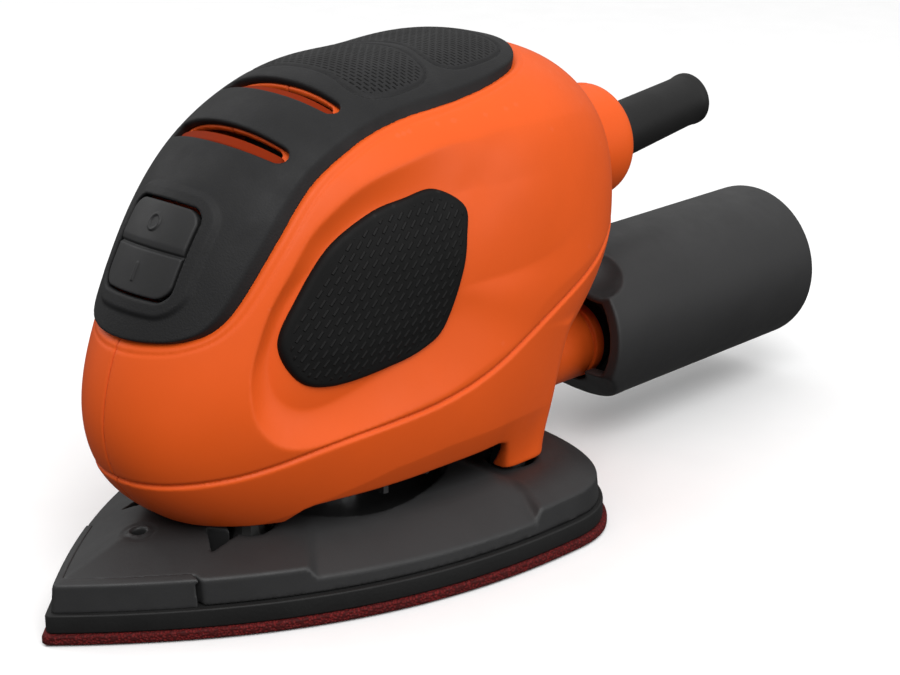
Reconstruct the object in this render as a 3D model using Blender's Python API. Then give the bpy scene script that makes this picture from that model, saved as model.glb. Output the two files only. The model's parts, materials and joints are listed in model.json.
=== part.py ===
"""Detail sander with a pear-shaped orbiting base, a clamshell body and a pull-off dust canister.

The object stands on its abrasive sheet.  The origin is the centre of the sheet's sanding face,
+Z is up, -Y points to the tip of the base and +X is the operator's right-hand side.
Every size below is in millimetres and becomes metres when a mesh is made.
"""

import math

import bmesh
import bpy
import numpy as np
from mathutils import Matrix, Vector

MM = 0.001
GAP = 0.3                      # clearance kept between touching pieces

# Base: a pear-shaped outline that is pointed at the tip and round at the rear.
BASE_TIP_Y = -67.5
BASE_REAR_Y = 67.5
BASE_HALF_WIDTH = 47.2
BASE_WIDEST_Y = 40.0
BASE_TIP_ANGLE = 0.782         # angle between the tip's edge and +Y, in radians
BASE_TIP_PULL = 0.445          # Bezier handles, as shares of the pointed length
BASE_SIDE_PULL = 0.38
BASE_REAR_EXPONENT = 2.35
BASE_MIDDLE_Y = 5.0
SHEET_TOP = 1.7
HOOK_TOP = 2.8
PAD_TOP = 6.2
PLATEN_WALL_TOP = 12.2
PLATEN_TOP = 17.0
PLATEN_REAR_TOP = 14.6
PLATEN_INSET = 2.6
TIP_SEAM_Y = -42.4             # where the removable tip's wall meets the platen's wall
TIP_SCREW_Y = -43.0
TIP_TOP = 12.0
TONGUE_HALF_WIDTH = 8.0        # of the tip's tongue, which runs back under the platen
TONGUE_REAR_Y = -37.0
TONGUE_TOP = 11.6

# Body: a rounded form given by its side outline and by its half width.
BODY_CENTRE_Y = 14.0
BODY_CENTRE_Z = 58.0
BODY_OUTLINE = (
    (79.5, 58.0), (79.5, 85.0), (59.0, 103.0), (33.0, 104.8), (14.0, 104.6), (-4.0, 100.9),
    (-20.6, 92.5), (-34.6, 78.0), (-45.5, 58.0), (-49.0, 32.0), (-30.0, 14.0), (-8.0, 5.3),
    (14.0, 4.3), (36.0, 5.3), (53.0, 19.0), (63.3, 37.6),
)                              # (y, z) from the rear over the top, the front and the bottom
BODY_SQUARENESS = (3.05, 2.4, 2.13, 3.07)   # exponent at the rear, top, front and bottom
BODY_HALF_WIDTH = 38.0
BODY_WALL = 2.6
SKIRT_EDGE = (
    (-70.0, 18.5), (-22.0, 18.5), (-16.0, 22.5), (0.0, 23.0), (31.0, 23.0), (34.0, 16.0),
    (90.0, 16.0), (90.0, -20.0), (-70.0, -20.0),
)                              # (y, z) outline of what is cut away below the body
SCOOP_DEPTH = 3.0
SCOOP_CENTRE = (-3.0, 67.0)

# Handling surfaces, placed by their angle round the body's centre, 0 at the rear and 90 on top.
GRIP_FRONT_ANGLE = 179.0
GRIP_REAR_ANGLE = 47.5
GRIP_HALF_WIDTH_FRONT = 19.0
GRIP_HALF_WIDTH_TOP = 23.5
GRIP_PROUD = 0.9
GRIP_DEPTH = 1.2
PAD_PROUD = 1.2
ROCKER_ANGLES = (152.5, 171.0)
ROCKER_HALF_WIDTH = 9.0
ROCKER_PIVOT_DEPTH = 3.0       # of the rocker's pivot below its face
VENT_ANGLES = (111.0, 131.0)
VENT_HALF_LENGTH = 14.5
VENT_HALF_HEIGHT = 1.7
SIDE_PAD = (
    (10.6, 84.0), (15.6, 79.5), (14.8, 73.5), (12.3, 65.8), (7.2, 56.9), (-4.3, 51.7),
    (-15.0, 49.6), (-22.8, 50.0), (-26.6, 56.8), (-22.2, 66.1), (-14.1, 76.0), (-4.3, 81.4),
    (3.6, 83.2),
)                              # (y, z) outline of the soft pad on each side

# Drive train on the vertical motor axis.
AXIS_Y = 6.0
ORBIT_RADIUS = 0.8
SHAFT_RADIUS = 4.0
MOTOR_RADIUS = 22.0
MOTOR_BOTTOM = 44.0
MOTOR_TOP = 70.0
ARMATURE_RADIUS = 13.2
COMMUTATOR_RADIUS = 9.0
COMMUTATOR_BOTTOM = 74.0
COMMUTATOR_TOP = 83.0
FAN_RADIUS = 27.0
FAN_VANES = 12
BEARING_OUTER = 11.0
BEARING_HEIGHT = 7.0
LOWER_BEARING_BOTTOM = 31.0
UPPER_BEARING_BOTTOM = 86.0
PLATEN_BEARING_BOTTOM = 8.0
BRUSH_Z = 78.5

# Rear end: cord entry, dust spigot and canister.
BOSS_Z = 73.6
BOSS_RADIUS = 13.5
BOSS_END_Y = 96.5
SLEEVE_TILT = math.radians(7.3)
SLEEVE_RADIUS = 6.0
SLEEVE_BORE = 4.2
SLEEVE_END_Y = 134.0
SLEEVE_END_Z = 77.4
SLEEVE_ROOT_Y = 72.0
SPIGOT_Z = 24.3
SPIGOT_RADIUS = 9.4
SPIGOT_BORE = 7.2
SPIGOT_END_Y = 91.8
INLET_RADIUS = 6.8             # of the canister's inlet tube inside the spigot
INLET_BORE = 5.4
CANISTER_Z = 28.4
CANISTER_RADIUS = 20.4
CANISTER_FRONT_Y = 84.0
CANISTER_REAR_Y = 165.0
CANISTER_WALL = 2.4
CANISTER_BULKHEAD_Y = 96.0
COLLAR_LOW_Z = 19.6            # the collar round the spigot is open below this height
FINGER_DISH_RADIUS = 9.8
FINGER_DISH_ANGLE = math.radians(58.0)

POST_PLACES = ((-11.5, -24.0), (11.5, -24.0), (-24.0, 41.0), (24.0, 41.0))
SCREW_PLACES = ((-38.0, 38.0), (62.0, 48.0), (64.0, 93.0), (-31.0, 52.0))


# ---------------------------------------------------------------- scene and materials

def clear_scene():
    for item in list(bpy.data.objects):
        bpy.data.objects.remove(item)


def make_material(name, colour, roughness, metallic=0.0):
    material = bpy.data.materials.new(name)
    material.use_nodes = True
    shader = material.node_tree.nodes["Principled BSDF"]
    shader.inputs["Base Color"].default_value = (*colour, 1.0)
    shader.inputs["Roughness"].default_value = roughness
    shader.inputs["Metallic"].default_value = metallic
    return material


def make_palette():
    return {
        "orange": make_material("orange_plastic", (0.58, 0.07, 0.012), 0.38),
        "grip": make_material("dark_grip", (0.035, 0.035, 0.036), 0.6),
        "rubber": make_material("black_rubber", (0.012, 0.012, 0.012), 0.7),
        "base": make_material("base_plastic", (0.04, 0.04, 0.042), 0.5),
        "canister": make_material("canister_plastic", (0.05, 0.05, 0.052), 0.3),
        "sheet": make_material("abrasive", (0.12, 0.015, 0.015), 0.95),
        "steel": make_material("steel", (0.55, 0.55, 0.56), 0.3, 1.0),
        "copper": make_material("copper", (0.6, 0.25, 0.12), 0.35, 1.0),
        "carbon": make_material("carbon", (0.03, 0.03, 0.03), 0.6),
        "filter": make_material("filter_cloth", (0.75, 0.74, 0.7), 0.9),
        "frame": make_material("inner_frame", (0.08, 0.08, 0.085), 0.5),
    }


# ---------------------------------------------------------------- mesh making

def make_object(name, points, faces, material=None):
    """One closed mesh object from points in millimetres."""
    mesh = bpy.data.meshes.new(name)
    mesh.from_pydata([tuple(float(c) * MM for c in point) for point in points], [], faces)
    work = bmesh.new()
    work.from_mesh(mesh)
    bmesh.ops.recalc_face_normals(work, faces=work.faces)
    work.to_mesh(mesh)
    work.free()
    if material:
        mesh.materials.append(material)
    item = bpy.data.objects.new(name, mesh)
    bpy.context.scene.collection.objects.link(item)
    return item


def loft(name, rings, material=None, close_loop=False):
    """Skin through rings of equal length, capped at both ends or joined end to end."""
    count = len(rings[0])
    points = [point for ring in rings for point in ring]
    faces = []
    steps = len(rings) if close_loop else len(rings) - 1
    for i in range(steps):
        here = i * count
        there = ((i + 1) % len(rings)) * count
        for j in range(count):
            k = (j + 1) % count
            faces.append((here + j, here + k, there + k, there + j))
    if not close_loop:
        faces.append(tuple(range(count)))
        faces.append(tuple(range(len(points) - count, len(points))))
    return make_object(name, points, faces, material)


def slab(name, outside, inside, material=None):
    """Closed shell between two point grids of the same shape (rows, columns, 3)."""
    rows, columns = outside.shape[:2]
    points = np.concatenate([outside.reshape(-1, 3), inside.reshape(-1, 3)])
    shift = rows * columns
    faces = []
    for i in range(rows - 1):
        for j in range(columns - 1):
            a = i * columns + j
            quad = (a, a + 1, a + columns + 1, a + columns)
            faces.append(quad)
            faces.append(tuple(shift + k for k in reversed(quad)))
    rim = [j for j in range(columns)]
    rim += [i * columns + columns - 1 for i in range(1, rows)]
    rim += [(rows - 1) * columns + j for j in range(columns - 2, -1, -1)]
    rim += [i * columns for i in range(rows - 2, 0, -1)]
    for a, b in zip(rim, rim[1:] + rim[:1]):
        faces.append((a, b, shift + b, shift + a))
    return make_object(name, points, faces, material)


def turned(name, profile, centre, material=None, steps=32, direction="z", tilt=0.0):
    """Turned piece; profile is a closed list of (radius, distance along the axis)."""
    rings = []
    for i in range(steps):
        turn = 2 * math.pi * i / steps
        ring = []
        for radius, along in profile:
            across = (radius * math.cos(turn), radius * math.sin(turn))
            if direction == "z":
                ring.append((centre[0] + across[0], centre[1] + across[1], centre[2] + along))
            elif direction == "x":
                ring.append((centre[0] + along, centre[1] + across[0], centre[2] + across[1]))
            else:
                y = along * math.cos(tilt) - across[1] * math.sin(tilt)
                z = along * math.sin(tilt) + across[1] * math.cos(tilt)
                ring.append((centre[0] + across[0], centre[1] + y, centre[2] + z))
        rings.append(ring)
    return loft(name, rings, material, close_loop=True)


def solid_turned(name, profile, centre, material=None, steps=32, direction="z", tilt=0.0):
    """Solid turned piece; profile runs from one end to the other and never touches the axis."""
    rings = []
    for radius, along in profile:
        ring = []
        for i in range(steps):
            turn = 2 * math.pi * i / steps
            across = (radius * math.cos(turn), radius * math.sin(turn))
            if direction == "z":
                ring.append((centre[0] + across[0], centre[1] + across[1], centre[2] + along))
            elif direction == "x":
                ring.append((centre[0] + along, centre[1] + across[0], centre[2] + across[1]))
            else:
                y = along * math.cos(tilt) - across[1] * math.sin(tilt)
                z = along * math.sin(tilt) + across[1] * math.cos(tilt)
                ring.append((centre[0] + across[0], centre[1] + y, centre[2] + z))
        rings.append(ring)
    return loft(name, rings, material)


def rod(name, radius, start, length, centre, material=None, steps=24, direction="z"):
    return solid_turned(
        name, ((radius, start), (radius, start + length)), centre, material, steps, direction
    )


def box(name, low, high, material=None):
    ring = [(low[0], low[1]), (high[0], low[1]), (high[0], high[1]), (low[0], high[1])]
    rings = [[(x, y, z) for x, y in ring] for z in (low[2], high[2])]
    return loft(name, rings, material)


def side_prism(name, outline, x_low, x_high, material=None):
    """Prism along X over a (y, z) outline."""
    rings = [[(x, y, z) for y, z in outline] for x in (x_low, x_high)]
    return loft(name, rings, material)


def apply_boolean(target, tool, operation):
    """Cut or join the tool and the target, then drop the tool."""
    modifier = target.modifiers.new("boolean", "BOOLEAN")
    modifier.operation = operation
    modifier.solver = "EXACT"
    modifier.object = tool
    bpy.context.view_layer.update()
    graph = bpy.context.evaluated_depsgraph_get()
    result = bpy.data.meshes.new_from_object(target.evaluated_get(graph))
    target.modifiers.clear()
    target.data = result
    bpy.data.objects.remove(tool)


def cut(target, tool):
    apply_boolean(target, tool, "DIFFERENCE")


def join(target, tool):
    apply_boolean(target, tool, "UNION")


# ---------------------------------------------------------------- base outline

def base_outline(inset=0.0, steps=10, rear_steps=6):
    """Closed (x, y) outline of the base, moved inwards by inset."""
    reach = BASE_WIDEST_Y - BASE_TIP_Y
    start = np.array([0.65, BASE_TIP_Y])
    end = np.array([BASE_HALF_WIDTH, BASE_WIDEST_Y])
    lead = start + reach * BASE_TIP_PULL * np.array(
        [math.sin(BASE_TIP_ANGLE), math.cos(BASE_TIP_ANGLE)]
    )
    trail = end - np.array([0.0, reach * BASE_SIDE_PULL])
    half = []
    for i in range(steps + 1):
        t = i / steps
        half.append(
            start * (1 - t) ** 3 + lead * 3 * t * (1 - t) ** 2
            + trail * 3 * t * t * (1 - t) + end * t ** 3
        )
    for i in range(1, rear_steps):
        turn = math.pi / 2 * i / rear_steps
        power = 2 / BASE_REAR_EXPONENT
        half.append(np.array([
            BASE_HALF_WIDTH * math.cos(turn) ** power,
            BASE_WIDEST_Y + (BASE_REAR_Y - BASE_WIDEST_Y) * math.sin(turn) ** power,
        ]))
    ring = half + [np.array([0.0, BASE_REAR_Y])] + [p * (-1, 1) for p in reversed(half)]
    shrink = np.array([
        1 - inset / BASE_HALF_WIDTH,
        1 - 1.15 * inset / (BASE_REAR_Y - BASE_MIDDLE_Y),
    ])
    middle = np.array([0.0, BASE_MIDDLE_Y])
    return middle + (np.array(ring) - middle) * shrink


def base_rings(levels):
    """Rings of the base outline, one for each (inset, z)."""
    return [[(x, y, z) for x, y in base_outline(inset)] for inset, z in levels]


# ---------------------------------------------------------------- body surface

def closed_spline(knots, values, at):
    """Smooth periodic interpolation of values at the given angles, in radians."""
    knots = np.asarray(knots, float)
    values = np.asarray(values, float)
    count = len(knots)
    step = np.diff(np.append(knots, knots[0] + 2 * math.pi))
    slope = np.diff(np.append(values, values[0])) / step
    system = np.zeros((count, count))
    for i in range(count):
        before = (i - 1) % count
        system[i, before] += step[before]
        system[i, i] += 2 * (step[before] + step[i])
        system[i, (i + 1) % count] += step[i]
    bend = np.linalg.solve(system, 6 * (slope - np.roll(slope, 1)))
    at = np.mod(np.asarray(at, float) - knots[0], 2 * math.pi) + knots[0]
    i = np.clip(np.searchsorted(knots, at, side="right") - 1, 0, count - 1)
    after = (i + 1) % count
    u = at - knots[i]
    w = step[i] - u
    return (
        (bend[i] * w ** 3 + bend[after] * u ** 3) / (6 * step[i])
        + (values[i] / step[i] - bend[i] * step[i] / 6) * w
        + (values[after] / step[i] - bend[after] * step[i] / 6) * u
    )


def polar(outline, centre):
    """Sorted angles and radii of a closed outline round a centre."""
    offsets = np.asarray(outline, float) - np.asarray(centre, float)
    angles = np.mod(np.arctan2(offsets[:, 1], offsets[:, 0]), 2 * math.pi)
    order = np.argsort(angles)
    return angles[order], np.hypot(offsets[:, 0], offsets[:, 1])[order]


BODY_ANGLES, BODY_RADII = polar(BODY_OUTLINE, (BODY_CENTRE_Y, BODY_CENTRE_Z))
PAD_CENTRE = (-4.5, 67.0)
PAD_ANGLES, PAD_RADII = polar(SIDE_PAD, PAD_CENTRE)


def body_radius(angle):
    return closed_spline(BODY_ANGLES, BODY_RADII, angle)


def body_exponent(angle):
    quarters = [0.0, math.pi / 2, math.pi, 1.5 * math.pi]
    return closed_spline(quarters, BODY_SQUARENESS, angle)


def half_width(y, z):
    dy = (y - BODY_CENTRE_Y) / 50
    dz = (z - BODY_CENTRE_Z) / 50
    return BODY_HALF_WIDTH * (1 + 0.06 * dy + 0.05 * dz - 0.076 * dy * dy - 0.008 * dz * dz)


def smooth_step(value):
    value = np.clip(value, 0.0, 1.0)
    return value * value * (3 - 2 * value)


def scoop(y, z):
    """Depth of the finger scoop in each side, measured along X."""
    dy = y - SCOOP_CENTRE[0]
    dz = z - SCOOP_CENTRE[1]
    reach = np.hypot(dy / np.where(dy < 0, 28.0, 52.0), dz / np.where(dz < 0, 30.0, 27.0))
    return SCOOP_DEPTH * smooth_step((1.0 - reach) / 0.35)


def skin_point(angle, turn, offset=0.0):
    """Point of the +X half; turn runs from 0 on the centre plane to pi/2 at the side."""
    power = 2 / body_exponent(angle)
    reach = (body_radius(angle) + offset) * np.cos(turn) ** power
    y = BODY_CENTRE_Y + reach * np.cos(angle)
    z = BODY_CENTRE_Z + reach * np.sin(angle)
    x = (half_width(y, z) + offset) * np.sin(turn) ** power
    return np.stack([x - scoop(y, z) * smooth_step(x / 12), y, z], axis=-1)


def top_point(angle, x, offset=0.0):
    """Point of the body at a given x, for what wraps over its front and top."""
    exponent = body_exponent(angle)
    reach = body_radius(angle) + offset
    share = np.ones_like(np.asarray(x, float))
    for _ in range(5):
        y = BODY_CENTRE_Y + reach * share * np.cos(angle)
        z = BODY_CENTRE_Z + reach * share * np.sin(angle)
        ratio = np.clip(np.abs(x) / (half_width(y, z) + offset), 0.0, 0.99)
        share = (1 - ratio ** exponent) ** (1 / exponent)
    return np.stack([x + 0.0 * share, y, z], axis=-1)


def side_point(y, z, offset=0.0):
    """Point of the +X side over a given (y, z)."""
    angle = np.arctan2(z - BODY_CENTRE_Z, y - BODY_CENTRE_Y)
    exponent = body_exponent(angle)
    share = np.hypot(y - BODY_CENTRE_Y, z - BODY_CENTRE_Z) / (body_radius(angle) + offset)
    share = np.clip(share, 0.0, 0.999)
    x = (half_width(y, z) + offset) * (1 - share ** exponent) ** (1 / exponent)
    return np.stack([x - scoop(y, z), y, z], axis=-1)


def body_half(name, side, offset, x_start, material=None, around=40, across=8):
    """Solid half of the body form, grown by offset, from x_start outwards."""
    angles = np.linspace(0, 2 * math.pi, around, endpoint=False)
    rings = [top_point(angles, np.full(around, max(x_start, 0.02)), offset)]
    if x_start < 0:
        rings = [rings[0] * (0, 1, 1) + (x_start, 0, 0)] + rings
    for k in range(1, across):
        rings.append(skin_point(angles, np.full(around, math.pi / 2 * k / across), offset))
    pole = skin_point(np.zeros(1), np.full(1, math.pi / 2 - 1e-6), offset)[0]
    points = np.concatenate(rings + [pole[None]])
    points[:, 0] *= side
    faces = []
    for i in range(len(rings) - 1):
        for j in range(around):
            k = (j + 1) % around
            here = i * around
            faces.append((here + j, here + k, here + around + k, here + around + j))
    last = (len(rings) - 1) * around
    for j in range(around):
        faces.append((last + j, last + (j + 1) % around, len(points) - 1))
    faces.append(tuple(range(around)))
    return make_object(name, points, faces, material)


# ---------------------------------------------------------------- body pieces

def grip_grid(offset, margin=0.0, rows=18, columns=9):
    """Grid over the body's front and top that follows the grip's rounded outline."""
    spread = math.degrees(margin / 50)
    front = math.radians(GRIP_FRONT_ANGLE + spread)
    rear = math.radians(GRIP_REAR_ANGLE - spread)
    sweep = np.linspace(-1, 1, rows)
    sweep = np.sin(sweep * math.pi / 2) * 0.985
    angles = front + (rear - front) * (sweep + 1) / 2
    front_end = (front - angles) * 50 / 9.0
    rear_end = (angles - rear) * 62 / 19.0
    fullness = np.where(front_end < 1, (1 - (1 - np.clip(front_end, 0, 1)) ** 2.6) ** (1 / 2.6), 1)
    fullness *= np.where(rear_end < 1, (1 - (1 - np.clip(rear_end, 0, 1)) ** 2.2) ** (1 / 2.2), 1)
    widen = smooth_step((front - angles) / math.radians(75))
    width = GRIP_HALF_WIDTH_FRONT + (GRIP_HALF_WIDTH_TOP - GRIP_HALF_WIDTH_FRONT) * widen
    width = (width + margin) * np.maximum(fullness, 0.12)
    across = np.linspace(-1, 1, columns)
    grid_x = width[:, None] * across[None, :]
    grid_angle = np.repeat(angles[:, None], columns, axis=1)
    return top_point(grid_angle, grid_x, offset)


def top_patch(name, angles, half_length, low, high, material=None, rows=5, columns=9):
    """Rounded block on the body's front or top between two angles, in degrees."""
    a = np.radians(np.linspace(angles[0], angles[1], rows))
    edge = np.array([0.82] + [1.0] * (rows - 2) + [0.82])
    grid_x = edge[:, None] * np.linspace(-half_length, half_length, columns)[None, :]
    grid_angle = np.repeat(a[:, None], columns, axis=1)
    outside = top_point(grid_angle, grid_x, high)
    inside = top_point(grid_angle, grid_x, low)
    return slab(name, outside, inside, material)


def rocker_patch(name, low, high, margin, material=None):
    spread = math.degrees(margin / 51)
    angles = (ROCKER_ANGLES[0] - spread, ROCKER_ANGLES[1] + spread)
    return top_patch(name, angles, ROCKER_HALF_WIDTH + margin, low, high, material)


def vent_patch(name, angle, low, high):
    spread = math.degrees(VENT_HALF_HEIGHT / 46)
    return top_patch(name, (angle - spread, angle + spread), VENT_HALF_LENGTH, low, high, rows=3)


def cord_boss(name, grow, y_start, y_end):
    profile = ((BOSS_RADIUS + grow, y_start), (BOSS_RADIUS + grow, y_end - 2.0),
               (BOSS_RADIUS + grow - 2.0, y_end))
    return solid_turned(name, profile, (0.0, 0.0, BOSS_Z), steps=32, direction="y")


def sleeve_root():
    """Inner end of the cord sleeve's axis."""
    run = SLEEVE_END_Y - SLEEVE_ROOT_Y
    return (0.0, SLEEVE_ROOT_Y, SLEEVE_END_Z - run * math.tan(SLEEVE_TILT))


def rear_leg(name, side):
    """Foot at the rear corner of the body, over a support post."""
    levels = ((16.0, 30.5, 47.0), (22.0, 32.0, 48.0), (36.0, 30.5, 46.5))
    rings = []
    for z, x_out, y_rear in levels:
        ring = ((17.0, 34.0), (x_out - 4.0, 34.0), (x_out, 38.0), (x_out, y_rear - 5.0),
                (x_out - 5.0, y_rear), (17.0, y_rear))
        rings.append([(side * x, y, z) for x, y in ring])
    return loft(name, rings)


def housing_half(name, side, material):
    """Left or right half of the clamshell body, with its screw bosses and openings."""
    shell = body_half(name, side, 0.0, 0.15, material)
    join(shell, rear_leg("leg", side))
    half_space = box("half_space", (0.15, -90, -20), (90, 190, 140))
    if side < 0:
        bpy.data.objects.remove(half_space)
        half_space = box("half_space", (-90, -90, -20), (-0.15, 190, 140))
    boss = cord_boss("boss", 0.0, 66.0, BOSS_END_Y)
    apply_boolean(boss, half_space, "INTERSECT")
    join(shell, boss)
    cut(shell, body_half("hollow", side, -BODY_WALL, -2.0))
    cut(shell, side_prism("skirt_cut", SKIRT_EDGE, -60, 60))
    cut(shell, box("leg_bore", (side * 24 - 5.2, 35.6, 10), (side * 24 + 5.2, 45.4, 40)))
    cut(shell, slab("grip_pocket", grip_grid(4.0, GAP), grip_grid(-GRIP_DEPTH - GAP, GAP)))
    cut(shell, rocker_patch("rocker_hole", -8.0, 8.0, 1.5))
    cut(shell, solid_turned("sleeve_bore", ((SLEEVE_RADIUS + 0.6, -6.0), (SLEEVE_RADIUS + 0.6, 40.0)),
                            sleeve_root(), None, 24, "y", SLEEVE_TILT))
    cut(shell, rod("spigot_bore", SPIGOT_RADIUS + 0.4, 40.0, 60.0, (0, 0, SPIGOT_Z),
                   direction="y", steps=32))
    return shell


def add_screw_bosses(shell, side):
    """Bosses along X that the housing screws pass through or bite into."""
    for y, z in SCREW_PLACES:
        rim_y = y + 4.0 * np.cos(np.linspace(0, 2 * math.pi, 8))
        rim_z = z + 4.0 * np.sin(np.linspace(0, 2 * math.pi, 8))
        reach = float(side_point(rim_y, rim_z, -BODY_WALL / 2)[:, 0].min())
        start = 0.15 if side > 0 else -reach
        post = rod("boss", 4.0, start, reach - 0.15, (0, y, z), direction="x", steps=16)
        join(shell, post)
        if side > 0:
            bore = rod("bore", 1.8, -1.0, 13.0, (0, y, z), direction="x", steps=12)
            cut(shell, bore)
        else:
            cut(shell, rod("bore", 1.8, -60.0, 61.0, (0, y, z), direction="x", steps=12))
            cut(shell, rod("sink", 3.6, -70.0, 70.0 - 8.0, (0, y, z), direction="x", steps=16))


def housing_screw(name, y, z, material):
    profile = ((3.2, -11.0), (3.2, -8.4), (1.5, -8.2), (1.5, 10.0), (0.6, 11.4))
    return solid_turned(name, profile, (0, y, z), material, steps=12, direction="x")


def side_pad(name, side, material, rings=3, around=20):
    """Soft pad lying on the scooped side of the body."""
    angles = np.linspace(0, 2 * math.pi, around, endpoint=False)
    radius = closed_spline(PAD_ANGLES, PAD_RADII, angles)
    points = []
    for offset in (PAD_PROUD, PAD_PROUD - 0.6):
        for k in range(rings, 0, -1):
            share = k / rings
            y = PAD_CENTRE[0] + share * radius * np.cos(angles)
            z = PAD_CENTRE[1] + share * radius * np.sin(angles)
            points.append(side_point(y, z) + (offset, 0, 0))
        points.append(side_point(np.array([PAD_CENTRE[0]]), np.array([PAD_CENTRE[1]]))
                      + (offset, 0, 0))
    points = np.concatenate(points)
    points[:, 0] *= side
    layer = rings * around + 1
    faces = []
    for shift in (0, layer):
        for i in range(rings - 1):
            for j in range(around):
                k = (j + 1) % around
                a = shift + i * around
                faces.append((a + j, a + k, a + around + k, a + around + j))
        last = shift + (rings - 1) * around
        for j in range(around):
            faces.append((last + j, last + (j + 1) % around, shift + layer - 1))
    for j in range(around):
        k = (j + 1) % around
        faces.append((j, k, layer + k, layer + j))
    return make_object(name, points, faces, material)


def build_body(palette):
    for side, name in ((1, "right_housing"), (-1, "left_housing")):
        shell = housing_half(name, side, palette["orange"])
        add_screw_bosses(shell, side)
    for number, (y, z) in enumerate(SCREW_PLACES, 1):
        housing_screw(f"housing_screw_{number}", y, z, palette["steel"])
    grip = slab("top_grip", grip_grid(GRIP_PROUD), grip_grid(-GRIP_DEPTH), palette["grip"])
    cut(grip, rocker_patch("rocker_hole", -8.0, 8.0, 1.3))
    for angle in VENT_ANGLES:
        cut(grip, vent_patch("vent", angle, -6.0, 6.0))
    side_pad("right_side_pad", 1, palette["rubber"])
    side_pad("left_side_pad", -1, palette["rubber"])


# ---------------------------------------------------------------- switch

def switch_frame():
    """Middle of the rocker on the centre plane, and its outward and upward directions."""
    middle = math.radians(sum(ROCKER_ANGLES) / 2)
    top, centre, bottom = top_point(
        np.array([math.radians(ROCKER_ANGLES[0]), middle, math.radians(ROCKER_ANGLES[1])]),
        np.zeros(3),
    )
    up = (top - bottom) / np.linalg.norm(top - bottom)
    out = np.array([0.0, -up[2], up[1]])
    return centre, out, up


def framed_prism(name, outline, half_width_x, material=None):
    """Prism along X over an outline given as (outward, upward) from the switch's middle."""
    centre, out, up = switch_frame()
    rings = []
    for x in (-half_width_x, half_width_x):
        rings.append([centre + a * out + b * up + (x, 0, 0) for a, b in outline])
    return loft(name, rings, material)


def build_switch(palette):
    rocker = ((-3.2, -8.3), (1.0, -8.3), (1.7, -7.4), (1.5, -1.0), (0.8, 0.0), (1.3, 1.0),
              (1.0, 7.4), (0.5, 8.3), (-3.2, 8.3), (-5.0, 2.0), (-5.0, -2.0))
    framed_prism("switch_rocker", rocker, ROCKER_HALF_WIDTH - 0.3, palette["rubber"])
    module = ((-16.0, -8.2), (-7.6, -8.2), (-7.6, 8.2), (-16.0, 8.2))
    framed_prism("switch_module", module, 8.4, palette["carbon"])


# ---------------------------------------------------------------- drive train

def bearing(name, bottom, material, x=0.0, y=AXIS_Y, bore=SHAFT_RADIUS):
    profile = ((bore + GAP, 0.0), (BEARING_OUTER, 0.0), (BEARING_OUTER, BEARING_HEIGHT),
               (bore + GAP, BEARING_HEIGHT))
    return turned(name, profile, (x, y, bottom), material, steps=20)


def build_shaft(palette):
    """Motor shaft with the eccentric pin at its lower end."""
    shaft = rod("motor_shaft", SHAFT_RADIUS, 17.6, 93.2 - 17.6, (0, AXIS_Y, 0),
                palette["steel"], steps=16)
    pin = rod("pin", SHAFT_RADIUS, 11.0, 7.2, (ORBIT_RADIUS, AXIS_Y, 0), steps=16)
    join(shaft, pin)
    return shaft


def build_armature(palette):
    """Laminated core with winding heads, and the commutator above it."""
    inner = SHAFT_RADIUS + GAP
    core = ((inner, MOTOR_BOTTOM), (ARMATURE_RADIUS, MOTOR_BOTTOM), (ARMATURE_RADIUS, MOTOR_TOP),
            (inner, MOTOR_TOP))
    turned("armature_core", core, (0, AXIS_Y, 0), palette["steel"], steps=24)
    for name, low, high in (("armature_winding_lower", 39.8, MOTOR_BOTTOM - GAP),
                            ("armature_winding_upper", MOTOR_TOP + GAP, 73.7)):
        head = ((inner, low), (10.6, low), (12.0, (low + high) / 2), (10.6, high), (inner, high))
        turned(name, head, (0, AXIS_Y, 0), palette["copper"], steps=16)
    commutator = ((inner, COMMUTATOR_BOTTOM), (COMMUTATOR_RADIUS, COMMUTATOR_BOTTOM),
                  (COMMUTATOR_RADIUS, COMMUTATOR_TOP), (inner, COMMUTATOR_TOP))
    turned("commutator", commutator, (0, AXIS_Y, 0), palette["copper"], steps=20)


def build_stator(palette):
    """Field ring round the armature, open on two sides for its windings."""
    inner = ARMATURE_RADIUS + 0.5
    ring = ((inner, MOTOR_BOTTOM), (MOTOR_RADIUS, MOTOR_BOTTOM), (MOTOR_RADIUS, MOTOR_TOP),
            (inner, MOTOR_TOP))
    field = turned("field_core", ring, (0, AXIS_Y, 0), palette["steel"], steps=32)
    for side in (-1, 1):
        slot = box("slot", (-9.0, AXIS_Y + side * 16.5 - 2.6, 30),
                   (9.0, AXIS_Y + side * 16.5 + 2.6, 90))
        cut(field, slot)
        name = "field_coil_front" if side < 0 else "field_coil_rear"
        y = AXIS_Y + side * 16.5
        box(name, (-8.5, y - 2.2, MOTOR_BOTTOM - 4.0), (8.5, y + 2.2, MOTOR_TOP + 4.0),
            palette["copper"])


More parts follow.
